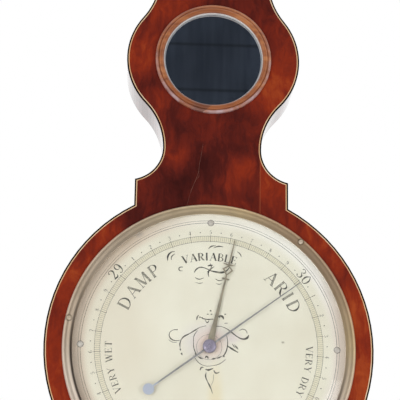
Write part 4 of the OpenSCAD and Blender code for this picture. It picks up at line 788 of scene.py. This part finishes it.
# a strapwork cartouche round the centre with curls, beads, a crown of dots, a feather and a pendant,
# and flourishes at the top: x, height and width in mm
ornament = {
    "shield": [
        [(-2.5, 16.3, .25), (-7, 15, .3), (-11, 12.6, .65), (-15, 10, .45), (-19.5, 7.4, .8),
         (-21.5, 5, .35)],
        [(-21.3, 5.4, .3), (-22.2, 2, .7), (-22, -1.2, .3)], [(-22, -1.6, .8), (-21.6, -3, .6)],
        [(-21, -5, 1), (-20.2, -6.6, .4)],
        [(-22, 4.6, .2), (-26, 4.4, .5), (-29.4, 6, .65), (-30.4, 9.4, .4), (-28, 12.2, .3),
         (-24, 12.8, .45)],
        [(-31, 5, .15), (-28, 3.2, .3), (-24.5, 3, .15)],
        [(4.6, 16.2, .4), (9.4, 15.9, .3), (13.4, 14.2, .4), (17.4, 11.4, .7), (21.4, 8.4, .5),
         (25.4, 6.8, .8), (28.8, 7.8, 1.2), (30, 10, .4)],
        [(22.6, 13.2, .2), (25.4, 14.4, .45), (28, 13.2, .4), (28.8, 11, .2)],
        [(-9, 12.6, .2), (-11.4, 9, .4), (-12, 4, .3), (-11.2, -2.4, .5), (-9.6, -5.4, .25)],
        [(12.6, 10.4, .2), (13.8, 6, .35), (13.8, 1, .5), (12.4, -4, .65), (10.4, -7.2, .3)],
        [(-11.8, -6.7, .2), (-8.4, -11.4, .35), (-3.4, -14.2, .25), (3, -14, .25), (8.6, -12.2, .35),
         (12.6, -9, .2)],
    ],
    "beads": [
        [(-10.6, -5, .9), (-9.6, -6.2, .5)], [(-8.6, -7.2, .3), (-6.6, -8.4, .8), (-4.6, -9.2, .3)],
        [(-3, -8.4, .3), (-1.8, -7.2, 1), (-.4, -8.8, .5)],
        [(1.8, -9.2, .3), (3.6, -8.8, .9), (5, -8.6, .3)],
        [(5.6, -8.4, .3), (7.6, -7.8, .7), (9.6, -6.6, .3)], [(10.6, -6, 1), (11.6, -7.2, .6)],
    ],
    "pendant": [
        [(-6.6, -17.6, .6), (-5.6, -15.6, .7), (-4, -15.6, .3)],
        [(-2.6, -16.8, .3), (-.4, -17.4, 1), (1.4, -16.8, .7), (3.4, -16, .3)],
        [(3.6, -17.6, .4), (5.4, -19.6, .8), (8, -18.8, .3)],
        [(-2, -19.4, .3), (-2.4, -22, .7), (-1, -26, .4), (.8, -29.4, .8), (2.2, -32.6, .4), (3, -35, .2)],
        [(3.6, -20.6, .15), (3.4, -25, .2), (2, -29, .15)],
    ],
    "feather": [
        [(13.8, 1.4, .4), (17.4, -1, 1), (22, -3.6, .4)], [(17.4, 3, .2), (18.6, 1.2, .5), (19.6, 0, .2)],
        [(19.2, 2.6, .2), (20.2, .6, .5), (21, -.6, .2)], [(20.6, 1.4, .2), (21.4, -.2, .4), (22, -1.4, .2)],
    ],
    "crown": [
        [(-5.8, 21.9, .5), (-1.4, 21.2, .6), (3, 21.6, .5)],
        [(-9.8, 20.6, .4), (-9.4, 22.8, .7), (-8.4, 24.4, .4)],
        [(6.6, 23.4, .5), (8.6, 24.2, 1), (10.2, 23.2, 1), (10.6, 21.6, .5)],
        [(11.4, 18.6, .3), (13.8, 18.7, .3)], [(-3.4, 20.6, .3), (-1.6, 18.8, .6), (-.4, 20.4, .3)],
        [(-7.4, 22.4, .9), (-7.4, 23.2, .9)], [(-5.8, 22.2, .8), (-5.8, 22.9, .8)],
        [(-1.4, 24.9, .8), (-1.4, 25.6, .8)], [(.6, 27.5, .9), (.6, 28.5, .7)],
        [(1.4, 24.9, .8), (1.4, 25.6, .8)], [(7.4, 22.8, .8), (7.4, 23.5, .8)],
        [(11.8, 25.2, .8), (11.8, 26, .8)],
    ],
    "flourish": [
        [(-33, 66.4, .3), (-32.8, 70, 1), (-30.4, 73, .7), (-27.6, 73.8, .25)],
        [(-30.2, 67, .25), (-29.9, 69.6, .7), (-27.6, 71.8, .25)],
        [(-1.6, 76.6, .3), (.6, 78.6, .7), (4, 79.2, .3)],
        [(2.4, 77.4, .25), (6, 78.8, .7), (9.8, 78.4, .25)], [(20.6, 75, .2), (23, 73, .6), (24, 70.6, .2)],
        [(-12.2, 57.6, .4), (-10.6, 60.2, .7), (-7.4, 61.8, .6), (-3.4, 61, .4), (0, 59.4, .5),
         (4.6, 58.4, .9), (9.4, 58.2, 1.1), (12.8, 59.8, .6), (15, 62.8, .25)],
        [(-1, 54.4, .3), (-1.5, 57.6, .7), (.8, 62.4, .4), (-.1, 65, .25)],
        [(-2, 63, .6), (.2, 63.6, .8), (2, 63.6, .3)], [(-2.6, 58, .2), (.8, 61, .6), (3, 62.6, .25)],
        [(-11.8, 53.8, .2), (-8.8, 52.4, .5), (-5, 53.4, .2)],
        [(-11.4, 49.8, .15), (-8, 49.2, .4), (-5.6, 49.8, .15)],
        [(4, 53, .2), (7, 51.6, .5), (10.4, 52.6, .2)], [(4.6, 49.4, .15), (7, 48.8, .35), (9, 49.4, .15)],
        [(-21, 61.6, .3), (-23.8, 61, .6), (-23.8, 59, .5), (-21.2, 58.6, .2)],
    ],
}
bolder = 1.45
bossCircle = (9.6, 0.2)
scrollStrokes = [[(x, z, w * bolder) for x, z, w in stroke]
                 for group in ornament.values() for stroke in group]
engrave(joined(penDrawing(scrollStrokes), flatRing(*bossCircle)), "dialScrollwork")
print("stage 5: ornament engraved")

# thermometer scale: two degrees to a tick, ten to a long tick and a number; lengths in mm
thermo = {"foot": 22.8, "head": 16.8, "degrees": 120, "each": 2, "near": 3.6, "short": 5.6, "long": 8.4,
          "pen": 0.24, "numberOut": 13, "numberHigh": 4.4, "gap": 0.08}
scaleLow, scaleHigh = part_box("thermometer_scale")
zero = scaleLow[2] + thermo["foot"] * mm
perDegree = ((scaleHigh[2] - zero) / mm - thermo["head"]) / thermo["degrees"]
pen, tall = thermo["pen"], thermo["numberHigh"]
markStrokes = []
for degree in range(0, thermo["degrees"] + 1, thermo["each"]):
    z = degree * perDegree
    text = "" if degree % 10 else str(degree)
    far = thermo["long"] if text else thermo["short"]
    for side in (-1, 1):
        markStrokes.append([(side * thermo["near"], z, pen), (side * far, z, pen)])
        run = side * thermo["numberOut"] - sum(glyphs[c][0] + thermo["gap"] for c in text) * tall / 2
        for letter in text:
            for stroke in glyphs[letter][1]:
                markStrokes.append([(run + x * tall, z + (v - 0.5) * tall, w * tall) for x, v, w in stroke])
            run += (glyphs[letter][0] + thermo["gap"]) * tall
marks = standUp(penDrawing(markStrokes), scaleLow[1] - engraving["lift"] * mm, zero, engraving["proud"])
settle(marks, "thermometerMarks", wax)

# a drying crack in the veneer above the dial, in mm from its centre
crack = {
    "lift": 0.005, "proud": 0.02,
    "strokes": [
        [(-7.3, 160.9, .1), (-8.4, 153, .22), (-9.8, 144, .2), (-10.6, 137, .24), (-13, 130, .3),
         (-16, 122, .24), (-19.4, 108.8, .1)],
        [(-10.4, 139, .1), (-10.2, 134, .2), (-12.2, 131.4, .1)],
    ],
}
split = standUp(penDrawing(crack["strokes"]), veneerFace - crack["lift"] * mm, dialZ, crack["proud"])
settle(split, "veneerCrack", crackFill)
print("stage 6: thermometer marks and crack drawn")

# threads and mercury: tapered threads and domed mercury, drawn up along their nodes
threadLook = {"tip": 0.6, "taper": 0.4 * mm, "sides": 32, "smooth": math.radians(40)}
mercuryLook = {
    "meniscus": [(0.9, 1), (0.35, 0.9), (0.08, 0.62), (0, 0.25)],  # mm below the top, share of the radius
    "stretch": 60 * mm, "bendSteps": 28,  # only the upper end of the long column stretches
}


def drawnUp(rings, x, y):
    # the selected end is drawn out upwards, each ring at its own height and radius
    for (z, radius), (nextZ, nextRadius) in zip(rings, rings[1:]):
        bpy.ops.mesh.extrude_region_move(TRANSFORM_OT_translate={"value": (0, 0, nextZ - z)})
        grow = nextRadius / radius
        bpy.ops.transform.resize(value=(grow, grow, 1), center_override=(x, y, nextZ))


def roundEnd(x, y, z, radius):
    bpy.ops.object.select_all(action="DESELECT")
    bpy.ops.mesh.primitive_circle_add(vertices=threadLook["sides"], radius=radius, fill_type="NGON",
                                      location=(x, y, z))
    bpy.ops.object.transform_apply()
    editAll()


def domed(top, radius):
    return [(top - drop * mm, radius * share) for drop, share in mercuryLook["meniscus"]]


def strung(node, name, material):
    bpy.ops.mesh.select_all(action="SELECT")
    bpy.ops.mesh.normals_make_consistent(inside=False)
    bpy.ops.object.mode_set(mode="OBJECT")
    bpy.ops.object.shade_smooth_by_angle(angle=threadLook["smooth"])
    piece = bpy.context.active_object
    piece.name = piece.data.name = name
    piece.data.materials.append(material)
    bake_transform(piece)
    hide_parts(node)


def axisOf(node):
    low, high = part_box(node)
    return (low[0] + high[0]) / 2, (low[1] + high[1]) / 2, low[2], high[2], (high[0] - low[0]) / 2


for body in ("float", "counterweight"):
    node = body + "_thread"
    x, y, low, top, radius = axisOf(node)
    tip, taper = radius * threadLook["tip"], threadLook["taper"]
    roundEnd(x, y, low, tip)
    drawnUp([(low, tip), (low + taper, radius), (top - taper, radius), (top, tip)], x, y)
    strung(node, body + "Thread", silk)

shortX, shortY, shortFoot, shortTop, bore = axisOf("mercury_short_limb")
roundEnd(shortX, shortY, shortFoot, bore)
drawnUp([(shortFoot, bore)] + domed(shortTop, bore), shortX, shortY)
strung("mercury_short_limb", "mercuryShortLimb", quicksilver)

# the long column starts at the short limb, goes round the bend and up
columnLow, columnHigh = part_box("mercury_column")
longX, columnTop = columnLow[0] + bore, columnHigh[2]
stretchFrom = columnTop - mercuryLook["stretch"]
bend = ((shortX + longX) / 2, shortY, shortFoot)
roundEnd(shortX, shortY, shortFoot, bore)
bpy.ops.mesh.spin(steps=mercuryLook["bendSteps"], angle=math.pi, center=bend, axis=(0, -1, 0))
drawnUp([(shortFoot, bore), (stretchFrom, bore)] + domed(columnTop, bore), longX, shortY)
strung("mercury_column", "mercuryColumn", quicksilver)
print("stage 7: threads and mercury strung")

# the photograph's viewpoint: low, close and a little left of the dial
cameraLook = {"place": (-0.05385, -1.02333, -0.91366), "yaw": -0.04555, "pitch": 0.28547, "roll": -0.01636,
              "lens": 118.81, "sensor": 36}
bpy.ops.object.camera_add()
camera = bpy.context.active_object
camera.data.lens = cameraLook["lens"]
camera.data.sensor_width = cameraLook["sensor"]
turned = Matrix.Translation(cameraLook["place"])
for key, axis in (("yaw", "Z"), ("pitch", "X"), ("roll", "Y")):
    turned = turned @ Matrix.Rotation(cameraLook[key], 4, axis)
camera.matrix_world = turned @ Matrix.Rotation(math.pi / 2, 4, "X")
bpy.context.scene.camera = camera

# white surroundings for the eye and for reflections, half as bright for soft light
worldLook = {"soft": 0.5, "seen": 1}
world = bpy.data.worlds.new("paleRoom")
bpy.context.scene.world = world
world.use_nodes = True
world.node_tree.nodes.clear()
add = partial(addNode, world.node_tree)
rays = add("LightPath").outputs
seen = add("Math", [rays["Is Camera Ray"], rays["Is Glossy Ray"]], "MAXIMUM")
seenThrough = add("Math", [seen, rays["Is Transmission Ray"]], "MAXIMUM")
strength = add("MapRange", [seenThrough, 0, 1, worldLook["soft"], worldLook["seen"]])
add("OutputWorld", [add("Background", {"Color": "#ffffff", "Strength": strength})])

# two lamps in front, and a weak one from below
lamps = {
    "keyLamp": {"place": (-1.4, -2.2, -1.1), "aim": (0, 0, -0.65), "size": 0.9, "watts": 12.2},
    "fillLamp": {"place": (1.4, -2, -1.1), "aim": (0, 0, -0.65), "size": 1.2, "watts": 9.4},
    "lowLamp": {"place": (-0.1, -0.9, -1.8), "aim": (0, 0, -0.55), "size": 1, "watts": 3.4},
}
for name, lamp in lamps.items():
    aim = (Vector(lamp["aim"]) - Vector(lamp["place"])).to_track_quat("-Z", "Y").to_euler()
    bpy.ops.object.light_add(type="AREA", location=lamp["place"], rotation=aim)
    light = bpy.context.active_object
    light.name = name
    light.data.size = lamp["size"]
    light.data.energy = lamp["watts"]
    light.visible_glossy = False  # no lamp shapes in brass and polish

floorLook = {"z": -1.9, "size": 40, "tones": spaced("#f2f2f0", "#f8f8f6"), "cloud": 333.3, "rough": 0.8,
             "glow": 0.42}


def paleGround(look):
    # painted board that the camera sees as near white, with the shadow kept
    made, add, place = newMaterial("paleFloor")
    made.cycles.emission_sampling = "NONE"  # seen, but no lamp
    cloud = add("TexNoise", {"Vector": place, "Size": look["cloud"], "Detail": 2})
    ramp = add("ValToRGB", [cloud], look["tones"])
    eye = add("LightPath").outputs["Is Camera Ray"]
    glow = add("Math", [eye, look["glow"]], "MULTIPLY")
    shader = add("BsdfPrincipled", {"Base Color": ramp, "Roughness": look["rough"], "Emission Color": ramp,
                                    "Emission Strength": glow})
    add("OutputMaterial", [shader])
    return made


bpy.ops.mesh.primitive_plane_add(size=floorLook["size"], location=(0, 0, floorLook["z"]))
floor = bpy.context.active_object
floor.name = "paleFloor"
floor.data.materials.append(paleGround(floorLook))

# the dark side of the room, met only by reflections: a grey-blue wall with two dark rails
wallLook = {"place": (-0.1, -2.2, -0.35), "size": (2.8, 2.9, 1), "tones": spaced("#333a46", "#464f5e"),
            "cloud": 200, "rails": (0.43, 0.305), "half": 0.0035, "railTone": "#232932"}


def darkWall(look):
    made, add, place = newMaterial("darkRoomWall")
    cloud = add("TexNoise", {"Vector": place, "Size": look["cloud"], "Detail": 2})
    level = add("MapRange", [cloud, *noiseSpan])
    colour = add("ValToRGB", [level], look["tones"])
    height = add("SeparateXYZ", [place]).outputs["Z"]
    for z in look["rails"]:
        rail = add("Math", [height, z, look["half"]], "COMPARE")
        colour = add("Mix", {0: rail, 6: colour, 7: look["railTone"]}, data_type="RGBA")
    add("OutputMaterial", [add("BsdfPrincipled", {"Base Color": colour, "Roughness": 0.9})])
    return made


bpy.ops.mesh.primitive_plane_add(size=1, location=wallLook["place"], rotation=(math.pi / 2, 0, 0))
card = bpy.context.active_object
card.name = "darkRoomCard"
card.scale = wallLook["size"]
bpy.ops.object.transform_apply()
card.data.materials.append(darkWall(wallLook))
card.visible_camera = False
card.visible_diffuse = False
card.visible_shadow = False
card.visible_transmission = False
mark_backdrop(floor, card)
bpy.context.scene.view_settings.view_transform = "Standard"
print("stage 8: camera, light and stage set")

low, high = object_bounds()
